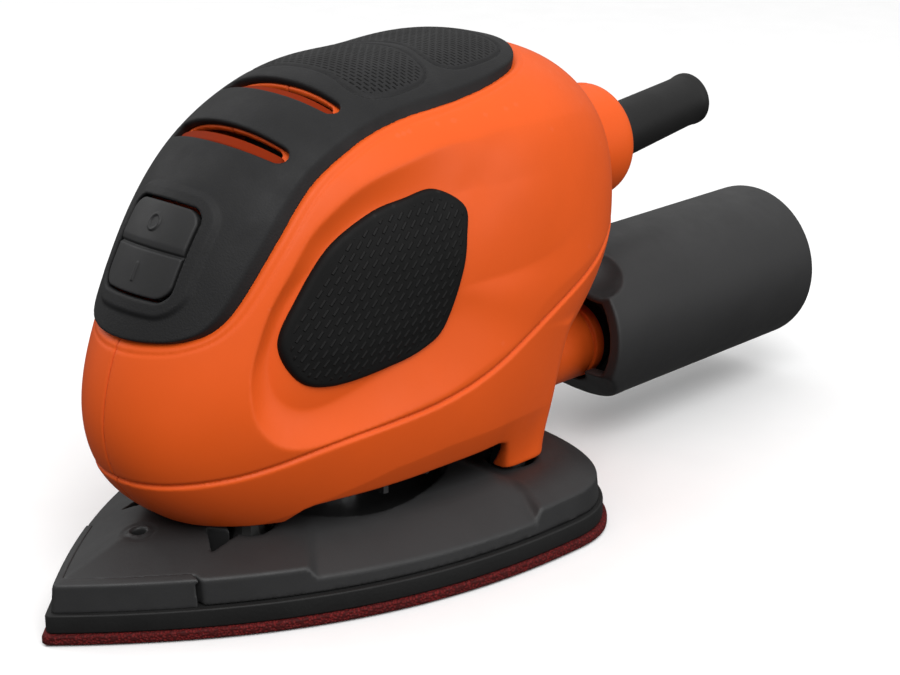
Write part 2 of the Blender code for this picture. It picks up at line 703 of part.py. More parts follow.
def build_brackets(palette):
    """Bearing bracket under the motor and bearing cap above it."""
    bottom = LOWER_BEARING_BOTTOM
    profile = ((BEARING_OUTER + GAP, bottom), (24.0, bottom - 1.0), (27.6, bottom + 1.0),
               (27.6, bottom + 4.0), (15.0, bottom + 4.0), (14.0, bottom + 8.2),
               (SHAFT_RADIUS + 2.0, bottom + 8.2), (SHAFT_RADIUS + 2.0, bottom + 7.3),
               (BEARING_OUTER + GAP, bottom + 7.3))
    turned("motor_bracket", profile, (0, AXIS_Y, 0), palette["frame"], steps=24)
    top = UPPER_BEARING_BOTTOM
    cap = ((BEARING_OUTER + GAP, top), (BEARING_OUTER + 2.5, top), (BEARING_OUTER + 2.5, top + 8.2),
           (SHAFT_RADIUS + 0.5, top + 8.2), (SHAFT_RADIUS + 0.5, top + 7.3),
           (BEARING_OUTER + GAP, top + 7.3))
    turned("upper_bearing_cap", cap, (0, AXIS_Y, 0), palette["rubber"], steps=20)


def build_brushes(palette):
    """Brush holders with their carbon brushes and pressure springs on both sides."""
    for side, word in ((-1, "left"), (1, "right")):
        start = COMMUTATOR_RADIUS + 2.0
        holder = box(f"brush_holder_{word}",
                     (min(side * start, side * 26.0), AXIS_Y - 4.6, BRUSH_Z - 4.0),
                     (max(side * start, side * 26.0), AXIS_Y + 4.6, BRUSH_Z + 4.0),
                     palette["frame"])
        cut(holder, box("channel", (min(side * 5, side * 24.8), AXIS_Y - 3.1, BRUSH_Z - 2.6),
                        (max(side * 5, side * 24.8), AXIS_Y + 3.1, BRUSH_Z + 2.6)))
        near = side * (COMMUTATOR_RADIUS + GAP)
        far = side * (COMMUTATOR_RADIUS + 8.0)
        box(f"brush_{word}", (min(near, far), AXIS_Y - 2.8, BRUSH_Z - 2.3),
            (max(near, far), AXIS_Y + 2.8, BRUSH_Z + 2.3), palette["carbon"])
        brush_spring(f"brush_spring_{word}", side, palette["steel"])


def brush_spring(name, side, material, turns=3, steps=8, sides=4):
    """Small coil between a brush and the end of its holder."""
    start = COMMUTATOR_RADIUS + 9.7
    length = 4.6
    rings = []
    for i in range(turns * steps + 1):
        turn = 2 * math.pi * i / steps
        along = start + length * i / (turns * steps)
        ring = []
        for j in range(sides):
            bend = 2 * math.pi * j / sides
            radius = 1.6 + 0.35 * math.cos(bend)
            ring.append((side * (along + 0.35 * math.sin(bend)),
                         AXIS_Y + radius * math.cos(turn), BRUSH_Z + radius * math.sin(turn)))
        rings.append(ring)
    return loft(name, rings, material)


def build_fan(palette):
    """Cooling fan with hanging vanes and the counterweight above its disc."""
    inner = SHAFT_RADIUS + GAP
    disc = ((inner, 24.2), (FAN_RADIUS, 24.2), (FAN_RADIUS, 25.6), (inner, 25.6))
    fan = turned("cooling_fan", disc, (0, AXIS_Y, 0), palette["carbon"], steps=28)
    hub = ((inner, 18.6), (8.0, 18.6), (8.0, 25.0), (inner, 25.0))
    join(fan, turned("hub", hub, (0, AXIS_Y, 0), steps=14))
    for i in range(FAN_VANES):
        turn = 2 * math.pi * i / FAN_VANES
        rings = []
        for z in (18.8, 25.0):
            ring = []
            for radius, shift in ((10.0, -0.6), (26.4, -0.6), (26.4, 0.6), (10.0, 0.6)):
                lean = turn + 0.35 * (radius - 10.0) / 16.4
                ring.append((radius * math.cos(lean) - shift * math.sin(lean),
                             AXIS_Y + radius * math.sin(lean) + shift * math.cos(lean), z))
            rings.append(ring)
        join(fan, loft("vane", rings))
    weight = []
    for z in (25.9, 29.6):
        ring = [(inner * math.cos(a), AXIS_Y + inner * math.sin(a), z)
                for a in np.linspace(math.radians(255), math.radians(105), 9)]
        ring += [(16.0 * math.cos(a), AXIS_Y + 16.0 * math.sin(a), z)
                 for a in np.linspace(math.radians(105), math.radians(255), 13)]
        weight.append(ring)
    loft("counterweight", weight, palette["steel"])


# ---------------------------------------------------------------- base pieces

def build_tip(palette, levels):
    """Removable tip below the platen's front, with a tongue for its screw."""
    tip = loft("platen_tip", base_rings(levels), palette["base"])
    cut(tip, box("cutter", (-60, TIP_SEAM_Y - GAP / 2, -5), (60, 90, 60)))
    join(tip, box("tongue", (-TONGUE_HALF_WIDTH, TIP_SEAM_Y - 4.0, PAD_TOP + 0.8),
                  (TONGUE_HALF_WIDTH, TONGUE_REAR_Y, TONGUE_TOP)))
    cut(tip, rod("screw_bore", 1.9, 8.6, 20.0, (0, TIP_SCREW_Y, 0), steps=12))


def build_platen(palette):
    """Rigid platen, its removable tip, and the foam, hook and abrasive layers below."""
    low = PAD_TOP + GAP
    levels = ((PLATEN_INSET, low), (PLATEN_INSET, PLATEN_WALL_TOP), (13.0, PLATEN_TOP))
    platen = loft("platen", base_rings(levels), palette["base"])
    cut(platen, box("tip_room", (-60, -90, -5), (60, TIP_SEAM_Y + GAP / 2, TIP_TOP + GAP)))
    cut(platen, box("tongue_room", (-TONGUE_HALF_WIDTH - GAP, -90, -5),
                    (TONGUE_HALF_WIDTH + GAP, TONGUE_REAR_Y + GAP, TONGUE_TOP + GAP)))
    centre = (ORBIT_RADIUS, AXIS_Y, 0)
    cut(platen, rod("bearing_seat", BEARING_OUTER + GAP, -5.0,
                    5.0 + PLATEN_BEARING_BOTTOM + BEARING_HEIGHT + GAP, centre, steps=28))
    cut(platen, rod("pin_hole", 9.5, 0.0, 40.0, centre, steps=24))
    cut(platen, box("rear_step", (-60, 30.0, PLATEN_REAR_TOP), (60, 90, 60)))
    cut(platen, box("duct_room", (-13.0, 38.0, PLATEN_REAR_TOP - 1.4), (13.0, 90, 60)))
    for x, y in POST_PLACES:
        cut(platen, rod("cup", 5.4, 11.0, 20.0, (x + ORBIT_RADIUS, y, 0), steps=16))
    cut(platen, rod("screw_seat", 3.9, 15.2, 20.0, (0, TIP_SCREW_Y, 0), steps=16))
    cut(platen, rod("screw_bore", 1.9, 9.0, 20.0, (0, TIP_SCREW_Y, 0), steps=12))
    build_tip(palette, ((PLATEN_INSET, low), (PLATEN_INSET, TIP_TOP)))
    screw = ((1.6, 8.9), (1.6, 15.4), (3.1, 15.5), (3.1, 16.5), (2.6, 16.9))
    solid_turned("tip_screw", screw, (0, TIP_SCREW_Y, 0), palette["steel"], steps=16)
    loft("foam_pad", base_rings(((0.6, HOOK_TOP + GAP), (0.0, 4.4), (0.3, PAD_TOP))),
         palette["rubber"])
    loft("hook_layer", base_rings(((0.6, SHEET_TOP + GAP), (0.6, HOOK_TOP))), palette["carbon"])
    loft("sanding_sheet", base_rings(((0.0, 0.0), (0.0, SHEET_TOP))), palette["sheet"])
    bearing("platen_bearing", PLATEN_BEARING_BOTTOM, palette["steel"], x=ORBIT_RADIUS)
    screw = ((7.0, 6.6), (7.0, 7.6), (3.6, 7.7), (3.6, 10.7))
    solid_turned("platen_screw", screw, centre, palette["steel"], steps=20)
    for number, (x, y) in enumerate(POST_PLACES, 1):
        post = ((3.4, 12.4), (4.2, 13.2), (3.0, 17.0), (3.0, 21.0), (4.2, 24.0), (4.2, 28.0))
        solid_turned(f"support_post_{number}", post, (x, y, 0), palette["rubber"], steps=12)


# ---------------------------------------------------------------- rear pieces

def build_cord_entry(palette):
    """Flexible cord sleeve in its boss, with the cord clamp behind it."""
    length = (SLEEVE_END_Y - SLEEVE_ROOT_Y) / math.cos(SLEEVE_TILT)
    flange = SLEEVE_RADIUS + 3.5
    profile = ((SLEEVE_BORE, 0.0), (flange, 0.0), (flange, 2.0), (SLEEVE_RADIUS, 2.6),
               (SLEEVE_RADIUS - 0.2, length - 6.0), (SLEEVE_RADIUS + 0.5, length - 2.4),
               (SLEEVE_RADIUS + 0.5, length), (SLEEVE_BORE, length))
    turned("cord_sleeve", profile, sleeve_root(), palette["rubber"], 20, "y", SLEEVE_TILT)
    clamp = box("cord_clamp", (-8.0, 58.5, 71.0), (8.0, 66.0, 75.0), palette["frame"])
    cut(clamp, rod("channel", 3.3, 40.0, 60.0, (0, 0, 69.4), direction="y", steps=16))
    box("suppressor_capacitor", (-6.0, 42.0, 78.0), (6.0, 54.0, 90.0), palette["frame"])
    box("terminal_block", (-9.0, 46.0, 60.0), (9.0, 55.0, 68.0), palette["frame"])


def build_dust_path(palette):
    """Duct from the fan chamber, and the spigot that the canister slides onto."""
    outer = SPIGOT_RADIUS
    end = SPIGOT_END_Y
    spigot = ((SPIGOT_BORE, 44.0), (outer, 44.0), (outer, end - 3.9), (outer - 0.6, end - 3.7),
              (outer - 0.6, end - 3.2), (outer + 0.1, end - 3.0), (outer + 0.1, end - 0.5),
              (outer - 0.4, end), (SPIGOT_BORE, end))
    turned("dust_spigot", spigot, (0, 0, SPIGOT_Z), palette["orange"], 24, "y")


def finger_dish(name, side, radius):
    """Ball that shapes the finger dish beside the canister's mouth."""
    reach = CANISTER_RADIUS + 4.0
    centre = (side * reach * math.cos(FINGER_DISH_ANGLE), CANISTER_FRONT_Y + 0.6,
              CANISTER_Z + reach * math.sin(FINGER_DISH_ANGLE))
    profile = [(radius * math.sin(a), radius * math.cos(a))
               for a in np.linspace(math.radians(172), math.radians(8), 9)]
    return solid_turned(name, profile, centre, steps=16)


def build_canister(palette):
    """Dust canister: shell with its mouth and inlet tube, filter, and the cap at the rear."""
    centre = (0, 0, CANISTER_Z)
    front, rear = CANISTER_FRONT_Y, CANISTER_REAR_Y
    outer = CANISTER_RADIUS
    inner = outer - CANISTER_WALL
    bulkhead = CANISTER_BULKHEAD_Y
    tube = ((outer, front), (outer, rear - 2.2), (outer - 0.7, rear - 0.6), (outer - 2.0, rear))
    shell = solid_turned("canister_shell", tube, centre, palette["canister"], 32, "y")
    cut(shell, solid_turned("dust_room", ((inner, bulkhead + 2.2), (inner, rear + 5.0)),
                            centre, None, 32, "y"))
    mouth = rod("mouth", inner, front - 5.0, bulkhead - front + 5.0, centre, None, 32, "y")
    for side in (-1, 1):
        cut(mouth, finger_dish("dish_wall", side, FINGER_DISH_RADIUS + 1.6))
    cut(shell, mouth)
    cut(shell, box("open_side", (-40, front - 20.0, -20), (40, bulkhead, COLLAR_LOW_Z)))
    for side in (-1, 1):
        cut(shell, finger_dish("dish", side, FINGER_DISH_RADIUS))
    inlet_centre = (0, 0, SPIGOT_Z)
    join(shell, rod("inlet", INLET_RADIUS, front - 2.0, bulkhead - front + 3.0, inlet_centre,
                    None, 20, "y"))
    join(shell, rod("stop", SPIGOT_RADIUS - 0.8, SPIGOT_END_Y + GAP, 5.0, inlet_centre,
                    None, 20, "y"))
    cut(shell, rod("inlet_bore", INLET_BORE, 70.0, 60.0, inlet_centre, None, 20, "y"))
    filter_front = bulkhead + 2.2 + GAP
    filter_profile = ((12.0, filter_front), (14.0, filter_front), (13.0, 146.0), (10.6, 146.0))
    turned("canister_filter", filter_profile, centre, palette["filter"], 18, "y")
    edge = inner - GAP
    cap = ((edge, rear - 9.0), (edge, rear - 0.6), (3.0, rear - 0.6), (3.0, rear - 2.6),
           (edge - 2.0, rear - 2.6), (edge - 2.0, rear - 9.0))
    lid = turned("canister_cap", cap, centre, palette["canister"], 32, "y")
    join(lid, box("pull_rib", (-1.4, rear - 4.6, CANISTER_Z - 14.0),
                  (1.4, rear - 0.2, CANISTER_Z + 14.0)))


def shade_smooth():
    """Smooth shading with sharp edges kept, on every piece."""
    for item in bpy.data.objects:
        item.data.shade_smooth()
        item.data.set_sharp_from_angle(angle=math.radians(32))


def set_origin(name, point):
    """Moves an object's origin to a point in millimetres and leaves its surface where it is."""
    item = bpy.data.objects[name]
    place = Vector([float(c) * MM for c in point])
    item.data.transform(Matrix.Translation(-place))
    item.location = place


def place_origins():
    """Puts the origin of every moving piece on the axis of its joint."""
    for name in ("motor_shaft", "armature_core", "armature_winding_lower", "commutator",
                 "armature_winding_upper", "cooling_fan", "counterweight", "platen_screw"):
        set_origin(name, (0, AXIS_Y, 50.0))
    for name in ("platen", "platen_tip", "tip_screw", "foam_pad", "hook_layer",
                 "sanding_sheet", "platen_bearing"):
        set_origin(name, (ORBIT_RADIUS, AXIS_Y, PLATEN_BEARING_BOTTOM + BEARING_HEIGHT / 2))
    for name in ("canister_shell", "canister_filter", "canister_cap"):
        set_origin(name, (0, CANISTER_BULKHEAD_Y, CANISTER_Z))
    for name, side in (("brush_left", -1), ("brush_right", 1)):
        set_origin(name, (side * COMMUTATOR_RADIUS, AXIS_Y, BRUSH_Z))
    centre, out, _ = switch_frame()
    set_origin("switch_rocker", centre - ROCKER_PIVOT_DEPTH * out)


def main():
    clear_scene()
    palette = make_palette()
    build_body(palette)
    build_switch(palette)
    build_shaft(palette)
    build_armature(palette)
    build_stator(palette)
    bearing("lower_bearing", LOWER_BEARING_BOTTOM, palette["steel"])
    bearing("upper_bearing", UPPER_BEARING_BOTTOM, palette["steel"])
    build_brackets(palette)
    build_brushes(palette)
    build_fan(palette)
    build_platen(palette)
    build_cord_entry(palette)
    build_dust_path(palette)
    build_canister(palette)
    shade_smooth()
    place_origins()


main()
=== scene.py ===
"""Looks of the detail sander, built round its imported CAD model.

The outer pieces are surfaces of distance functions: a function gives each point's distance to
a form, negative inside, forms are joined and cut with rounded corners, and surface_net turns
the result into a closed mesh.  Those functions work in millimetres, in the frame of the CAD
model: +Z up, -Y to the tip, +X the right-hand side.
"""

import json
import math

import bpy
import numpy as np
from mathutils import Matrix, Vector


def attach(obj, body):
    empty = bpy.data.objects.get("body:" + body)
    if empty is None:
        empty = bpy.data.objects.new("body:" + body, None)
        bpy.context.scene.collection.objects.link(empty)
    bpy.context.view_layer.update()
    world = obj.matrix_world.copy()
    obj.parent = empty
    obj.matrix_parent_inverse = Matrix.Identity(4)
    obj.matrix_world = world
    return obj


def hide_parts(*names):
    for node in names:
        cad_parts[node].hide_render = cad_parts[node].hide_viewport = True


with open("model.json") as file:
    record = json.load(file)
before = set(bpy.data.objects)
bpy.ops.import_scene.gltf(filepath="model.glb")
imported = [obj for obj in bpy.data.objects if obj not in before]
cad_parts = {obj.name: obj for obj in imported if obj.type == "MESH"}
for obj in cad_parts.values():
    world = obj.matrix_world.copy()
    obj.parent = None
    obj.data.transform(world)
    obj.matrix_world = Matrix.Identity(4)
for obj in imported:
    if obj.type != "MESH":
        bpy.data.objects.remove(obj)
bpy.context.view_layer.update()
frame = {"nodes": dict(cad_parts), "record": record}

MM = 0.001
FINE = 1.0       # coarser meshes while trying things

# Driving sizes.  The axes and joints are the CAD model's; some edges lie up to 3 mm from its own.
BODY_CENTRE = (14.0, 58.0)              # (y, z)
BODY_OUTLINE = (
    (79.5, 58.0), (79.5, 85.0), (59.0, 103.0), (33.0, 104.8), (14.0, 104.6), (-4.0, 100.9),
    (-20.6, 92.5), (-34.6, 78.0), (-45.5, 58.0), (-49.0, 32.0), (-30.0, 14.0), (-8.0, 5.3),
    (14.0, 4.3), (36.0, 5.3), (53.0, 19.0), (63.3, 37.6),
)
BODY_SQUARENESS = (3.05, 2.4, 2.13, 3.07)
BODY_HALF_WIDTH = 38.0
BODY_WALL = 2.6
SKIRT_EDGE = (
    (-70.0, 17.6), (-21.4, 17.6), (-20.4, 19.6), (-19.4, 20.9), (-17.6, 21.7), (-12.0, 22.1),
    (29.0, 23.5), (31.6, 22.7), (32.8, 20.2), (34.0, 15.4), (90.0, 15.4), (90.0, -40.0),
    (-70.0, -40.0),
)
AXIS_Y = 6.0
ORBIT_RADIUS = 0.8
POST_PLACES = ((-11.5, -24.0), (11.5, -24.0), (-24.0, 41.0), (24.0, 41.0))
SCREW_PLACES = ((-38.0, 38.0), (62.0, 48.0), (64.0, 93.0), (-31.0, 52.0))
SCREW_BOSS_RADIUS, SCREW_HEAD_RADIUS, SCREW_SHANK_RADIUS = 4.0, 3.7, 1.8
SCREW_HEAD_X, SCREW_END_X = 8.0, 13.0   # from the centre plane: heads left, ends right
SIDE_PAD = (
    (10.6, 83.5), (16.6, 79.5), (16.2, 73.5), (14.6, 66.0), (10.2, 55.8), (4.8, 51.8),
    (-3.4, 49.4), (-15.3, 47.8), (-21.8, 49.9), (-24.6, 57.2), (-20.1, 65.7), (-12.6, 75.0),
    (-3.4, 80.5), (4.0, 82.5),
)
GRIP_EDGE = (
    (179.5, 0.0), (179.2, 8.0), (178.3, 13.5), (175.5, 17.3), (168.0, 19.5), (151.5, 21.0),
    (132.5, 21.3), (120.0, 21.9), (109.0, 22.4), (87.0, 23.8), (71.0, 23.6), (60.5, 22.6),
    (54.2, 20.0), (50.7, 14.0), (49.0, 7.0), (48.4, 0.0),
)                                       # (angle round the body's centre, x)
GRIP_PROUD = 0.9
GRIP_DEPTH = 1.2
ROCKER_ANGLES = (151.2, 171.2)
ROCKER_HALF_WIDTH = 9.8
VENT_ANGLES = (111.0, 131.0)
BOSS_Z = 73.6
BOSS_RADIUS = 13.8
BOSS_END_Y = 97.6
SLEEVE_TILT = math.radians(7.3)
SLEEVE_START = (72.0, 69.46)            # (y, z) of the sleeve's inner end
SLEEVE_LENGTH = 62.5
SPIGOT_Z = 24.3
SPIGOT_RADIUS = 9.4
CANISTER_Z = 28.4
CANISTER_RADIUS = 20.4
CANISTER_FRONT_Y = 84.0
CANISTER_REAR_Y = 165.0
CANISTER_WALL = 2.4
CANISTER_BULKHEAD_Y = 96.0


# ---- curves and outlines

def closed_curve(points, steps=12):
    """Points along a smooth closed curve through the given ones (Catmull-Rom)."""
    points = np.asarray(points, float)
    before, after = np.roll(points, 1, axis=0), np.roll(points, -1, axis=0)
    further = np.roll(points, -2, axis=0)
    t = np.linspace(0, 1, steps, endpoint=False)[:, None, None]
    curve = 0.5 * (
        2 * points + (after - before) * t
        + (2 * before - 5 * points + 4 * after - further) * t ** 2
        + (3 * points - before - 3 * after + further) * t ** 3
    )
    return curve.transpose(1, 0, 2).reshape(-1, 2)


def periodic_spline(angles, values):
    """Table of a smooth periodic curve through values at the given angles, in radians."""
    order = np.argsort(angles)
    knots = np.asarray(angles, float)[order]
    values = np.asarray(values, float)[order]
    count = len(knots)
    step = np.diff(np.append(knots, knots[0] + 2 * math.pi))
    slope = np.diff(np.append(values, values[0])) / step
    system = np.zeros((count, count))
    for i in range(count):
        before = (i - 1) % count
        system[i, before] += step[before]
        system[i, i] += 2 * (step[before] + step[i])
        system[i, (i + 1) % count] += step[i]
    bend = np.linalg.solve(system, 6 * (slope - np.roll(slope, 1)))
    at = np.linspace(-math.pi, math.pi, 2881)
    turn = np.mod(at - knots[0], 2 * math.pi) + knots[0]
    i = np.clip(np.searchsorted(knots, turn, side="right") - 1, 0, count - 1)
    after = (i + 1) % count
    u = turn - knots[i]
    w = step[i] - u
    table = (
        (bend[i] * w ** 3 + bend[after] * u ** 3) / (6 * step[i])
        + (values[i] / step[i] - bend[i] * step[i] / 6) * w
        + (values[after] / step[i] - bend[after] * step[i] / 6) * u
    )
    return at, table


def outline_field(points, step=0.5, margin=14.0):
    """Function of (u, v) that gives the distance to a closed outline, negative inside it."""
    points = np.asarray(points, float)
    low = points.min(axis=0) - margin
    size = np.ceil((points.max(axis=0) + margin - low) / step).astype(int) + 1
    grid_u, grid_v = np.meshgrid(low[0] + step * np.arange(size[0]),
                                 low[1] + step * np.arange(size[1]), indexing="ij")
    nearest = np.full(grid_u.shape, 1e9)
    inside = np.zeros(grid_u.shape, bool)
    for start, end in zip(points, np.roll(points, -1, axis=0)):
        edge = end - start
        length = max(float(edge @ edge), 1e-12)
        du, dv = grid_u - start[0], grid_v - start[1]
        share = np.clip((du * edge[0] + dv * edge[1]) / length, 0, 1)
        gap = np.hypot(du - share * edge[0], dv - share * edge[1])
        nearest = np.minimum(nearest, gap)
        crosses = (grid_v < start[1]) != (grid_v < end[1])
        if edge[1]:
            inside ^= crosses & (du < dv * edge[0] / edge[1])
    table = np.where(inside, -nearest, nearest)

    def field(u, v):
        a = np.clip((u - low[0]) / step, 0, size[0] - 1.001)
        b = np.clip((v - low[1]) / step, 0, size[1] - 1.001)
        i, j = a.astype(int), b.astype(int)
        a, b = a - i, b - j
        return ((table[i, j] * (1 - a) + table[i + 1, j] * a) * (1 - b)
                + (table[i, j + 1] * (1 - a) + table[i + 1, j + 1] * a) * b)

    return field


def mirrored(half):
    """Closed outline from its half with u >= 0, which starts and ends at u = 0."""
    return list(half) + [(-u, v) for u, v in reversed(half[1:-1])]


# ---- distance functions

def smooth_step(value):
    value = np.clip(value, 0.0, 1.0)
    return value * value * (3 - 2 * value)


def both(a, b, corner=0.0):
    """What two forms share, with its corners rounded."""
    if not corner:
        return np.maximum(a, b)
    blend = np.maximum(corner - np.abs(a - b), 0.0) / corner
    return np.maximum(a, b) + 0.25 * corner * blend * blend


def either(a, b, corner=0.0):
    """Two forms joined, with a fillet between them."""
    return -both(-a, -b, corner)


def without(a, b, corner=0.0):
    """The first form with the second cut from it."""
    return both(a, -b, corner)


def along_y(p, z):
    """Distance from an axis that runs along Y at height z."""
    return np.hypot(p[..., 0], p[..., 2] - z)


def round_centre(outline, centre):
    """Smooth table of an outline's distance from a centre by its angle."""
    y, z = (np.array(outline) - centre).T
    return periodic_spline(np.arctan2(z, y), np.hypot(y, z))


BODY_ANGLE_TABLE, BODY_RADIUS_TABLE = round_centre(BODY_OUTLINE, BODY_CENTRE)
BODY_EXPONENT_TABLE = periodic_spline([0, math.pi / 2, math.pi, -math.pi / 2], BODY_SQUARENESS)[1]
ARC_TABLE = np.cumsum(BODY_RADIUS_TABLE) * (BODY_ANGLE_TABLE[1] - BODY_ANGLE_TABLE[0])


def body_angle(p):
    return np.arctan2(p[..., 2] - BODY_CENTRE[1], p[..., 1] - BODY_CENTRE[0])


def arc_at(degrees):
    """Distance round the body's side outline at an angle from its centre."""
    return np.interp(np.radians(degrees), BODY_ANGLE_TABLE, ARC_TABLE)


def round_body(p):
    """Distance round the body's side outline of each point, for what wraps over the top."""
    angle = body_angle(p)
    angle = np.where(angle < -math.pi / 2, angle + 2 * math.pi, angle)
    over = np.maximum(angle - math.pi, 0.0) * BODY_RADIUS_TABLE[-1]
    return np.interp(angle, BODY_ANGLE_TABLE, ARC_TABLE) + over


# Scoop in each side: its crease in (y, z), and how far it takes to reach its full depth.
SCOOP_CENTRE = (0.0, 67.0)
SCOOP_CREASE = (
    (80.0, 70.0), (72.0, 85.5), (58.0, 91.0), (43.8, 92.0), (34.2, 92.4), (25.8, 91.8),
    (18.4, 91.6), (10.2, 90.7), (4.6, 89.4), (-2.1, 87.5), (-6.9, 85.5), (-13.0, 81.7),
    (-17.5, 77.8), (-22.8, 70.8), (-27.4, 63.9), (-30.2, 57.9), (-31.9, 52.9),
    (-32.4, 48.1), (-31.7, 43.3), (-30.1, 40.4), (-27.8, 38.1), (-23.4, 36.6),
    (-17.9, 36.9), (-7.4, 38.7), (1.8, 40.4), (12.0, 42.4), (23.0, 46.0), (34.0, 51.0),
    (50.0, 58.5),
)
SCOOP_DEPTH = 4.3
SCOOP_TABLE = round_centre(SCOOP_CREASE, SCOOP_CENTRE)[1]
SCOOP_FADE_TABLE = periodic_spline(
    [math.radians(a) for a in (0, 35, 66, 90, 130, 170, 195, 215, 232, 250, 270, 300, 330)],
    (30.0, 18.0, 9.6, 7.0, 5.8, 5.6, 5.8, 7.0, 9.0, 10.0, 11.0, 14.0, 20.0),
)[1]


def scoop(y, z):
    """Depth of the scoop in the body's side."""
    dy, dz = y - SCOOP_CENTRE[0], z - SCOOP_CENTRE[1]
    angle = np.arctan2(dz, dy)
    edge = np.interp(angle, BODY_ANGLE_TABLE, SCOOP_TABLE)
    fade = np.interp(angle, BODY_ANGLE_TABLE, SCOOP_FADE_TABLE)
    inwards = edge - np.hypot(dy, dz)
    inwards = 0.5 * (inwards + np.sqrt(inwards * inwards + 0.12))
    share = np.clip(inwards / fade, 0.0, 1.0)
    depth = SCOOP_DEPTH * (1 - 0.78 * smooth_step((y + 6.0) / 50.0))
    return depth * (1 - (1 - share) ** 1.4)


def body_ratio(x, y, z, scooped):
    """1 on the body's surface, less inside it."""
    dy, dz = y - BODY_CENTRE[0], z - BODY_CENTRE[1]
    angle = np.arctan2(dz, dy)
    radius = np.interp(angle, BODY_ANGLE_TABLE, BODY_RADIUS_TABLE)
    exponent = np.interp(angle, BODY_ANGLE_TABLE, BODY_EXPONENT_TABLE)
    a, b = dy / 50, dz / 50
    wide = BODY_HALF_WIDTH * (1 + 0.06 * a + 0.05 * b - 0.076 * a * a - 0.008 * b * b)
    x = np.abs(x)
    if scooped:
        x = x + scoop(y, z) * smooth_step(x / 12)
    x = x / np.maximum(wide, 12.0)
    return ((np.hypot(dy, dz) / radius) ** exponent + x ** exponent + 1e-9) ** (1 / exponent)


SLOPE_REACH = 0.02                      # step over which a slope is measured


def body(p, scooped=True):
    """Distance to the body's outer surface."""
    x, y, z = p[..., 0], p[..., 1], p[..., 2]
    here = body_ratio(x, y, z, scooped)
    slope = np.sqrt(
        (body_ratio(x + SLOPE_REACH, y, z, scooped) - here) ** 2
        + (body_ratio(x, y + SLOPE_REACH, z, scooped) - here) ** 2
        + (body_ratio(x, y, z + SLOPE_REACH, scooped) - here) ** 2
    ) / SLOPE_REACH
    return (here - 1) / np.maximum(slope, 0.004)


# ---- meshes

FAR = 9.0                               # distance given to blocks away from the surface
BLOCKS_AT_ONCE = 300
POINTS_AT_ONCE = 60000
CORNERS = np.array([(a, b, c) for a in (0, 1) for b in (0, 1) for c in (0, 1)])
EDGES = [(i, j) for i in range(8) for j in range(i + 1, 8)
         if np.abs(CORNERS[i] - CORNERS[j]).sum() == 1]


def sample(distance, low, step, cells, block):
    """Distances on a grid, worked out only in the blocks that the surface may cross."""
    middle = np.stack(np.meshgrid(*[low[i] + step * block * (np.arange(cells[i]) + 0.5)
                                    for i in range(3)], indexing="ij"), axis=-1)
    rough = distance(middle)
    field = np.where(rough < 0, -FAR, FAR).astype(np.float32)
    for axis in range(3):
        field = np.repeat(field, block, axis=axis)
        field = np.concatenate([field, np.take(field, [-1], axis=axis)], axis=axis)
    near = np.argwhere(np.abs(rough) < 1.7 * step * block + 0.6)
    ticks = np.arange(block + 1)
    local = np.stack(np.meshgrid(ticks, ticks, ticks, indexing="ij"), axis=-1)
    for start in range(0, len(near), BLOCKS_AT_ONCE):
        chosen = near[start:start + BLOCKS_AT_ONCE]
        points = low + step * (chosen[:, None, None, None, :] * block + local)
        values = distance(points)
        for (i, j, k), value in zip(chosen * block, values):
            field[i:i + block + 1, j:j + block + 1, k:k + block + 1] = value
    return field


def settle(distance, points, step, rounds=2):
    """Moves points on to the surface along the distance's slope."""
    for _ in range(rounds):
        for start in range(0, len(points), POINTS_AT_ONCE):
            p = points[start:start + POINTS_AT_ONCE]
            here = distance(p)
            slope = np.stack([distance(p + SLOPE_REACH * np.eye(3)[i]) - here
                              for i in range(3)], axis=-1) / SLOPE_REACH
            size = np.maximum((slope * slope).sum(axis=-1), 0.15)
            move = np.clip(here / size, -0.6 * step, 0.6 * step)
            points[start:start + POINTS_AT_ONCE] = p - move[:, None] * slope
    return points


def place_object(name, data):
    """Object made of a mesh, a camera or a light, placed in the scene."""
    item = bpy.data.objects.new(name, data)
    bpy.context.scene.collection.objects.link(item)
    return item


def mesh_object(name, points, faces):
    """Mesh object from points in millimetres and an array of faces."""
    mesh = bpy.data.meshes.new(name)
    faces = np.asarray(faces, np.int32)
    width = faces.shape[1]
    mesh.vertices.add(len(points))
    mesh.vertices.foreach_set("co", (np.asarray(points, float) * MM).astype(np.float32).ravel())
    mesh.loops.add(faces.size)
    mesh.loops.foreach_set("vertex_index", faces.ravel())
    mesh.polygons.add(len(faces))
    mesh.polygons.foreach_set("loop_start", np.arange(0, faces.size, width, dtype=np.int32))
    mesh.update(calc_edges=True)
    mesh.validate()
    mesh.shade_smooth()
    return place_object(name, mesh)


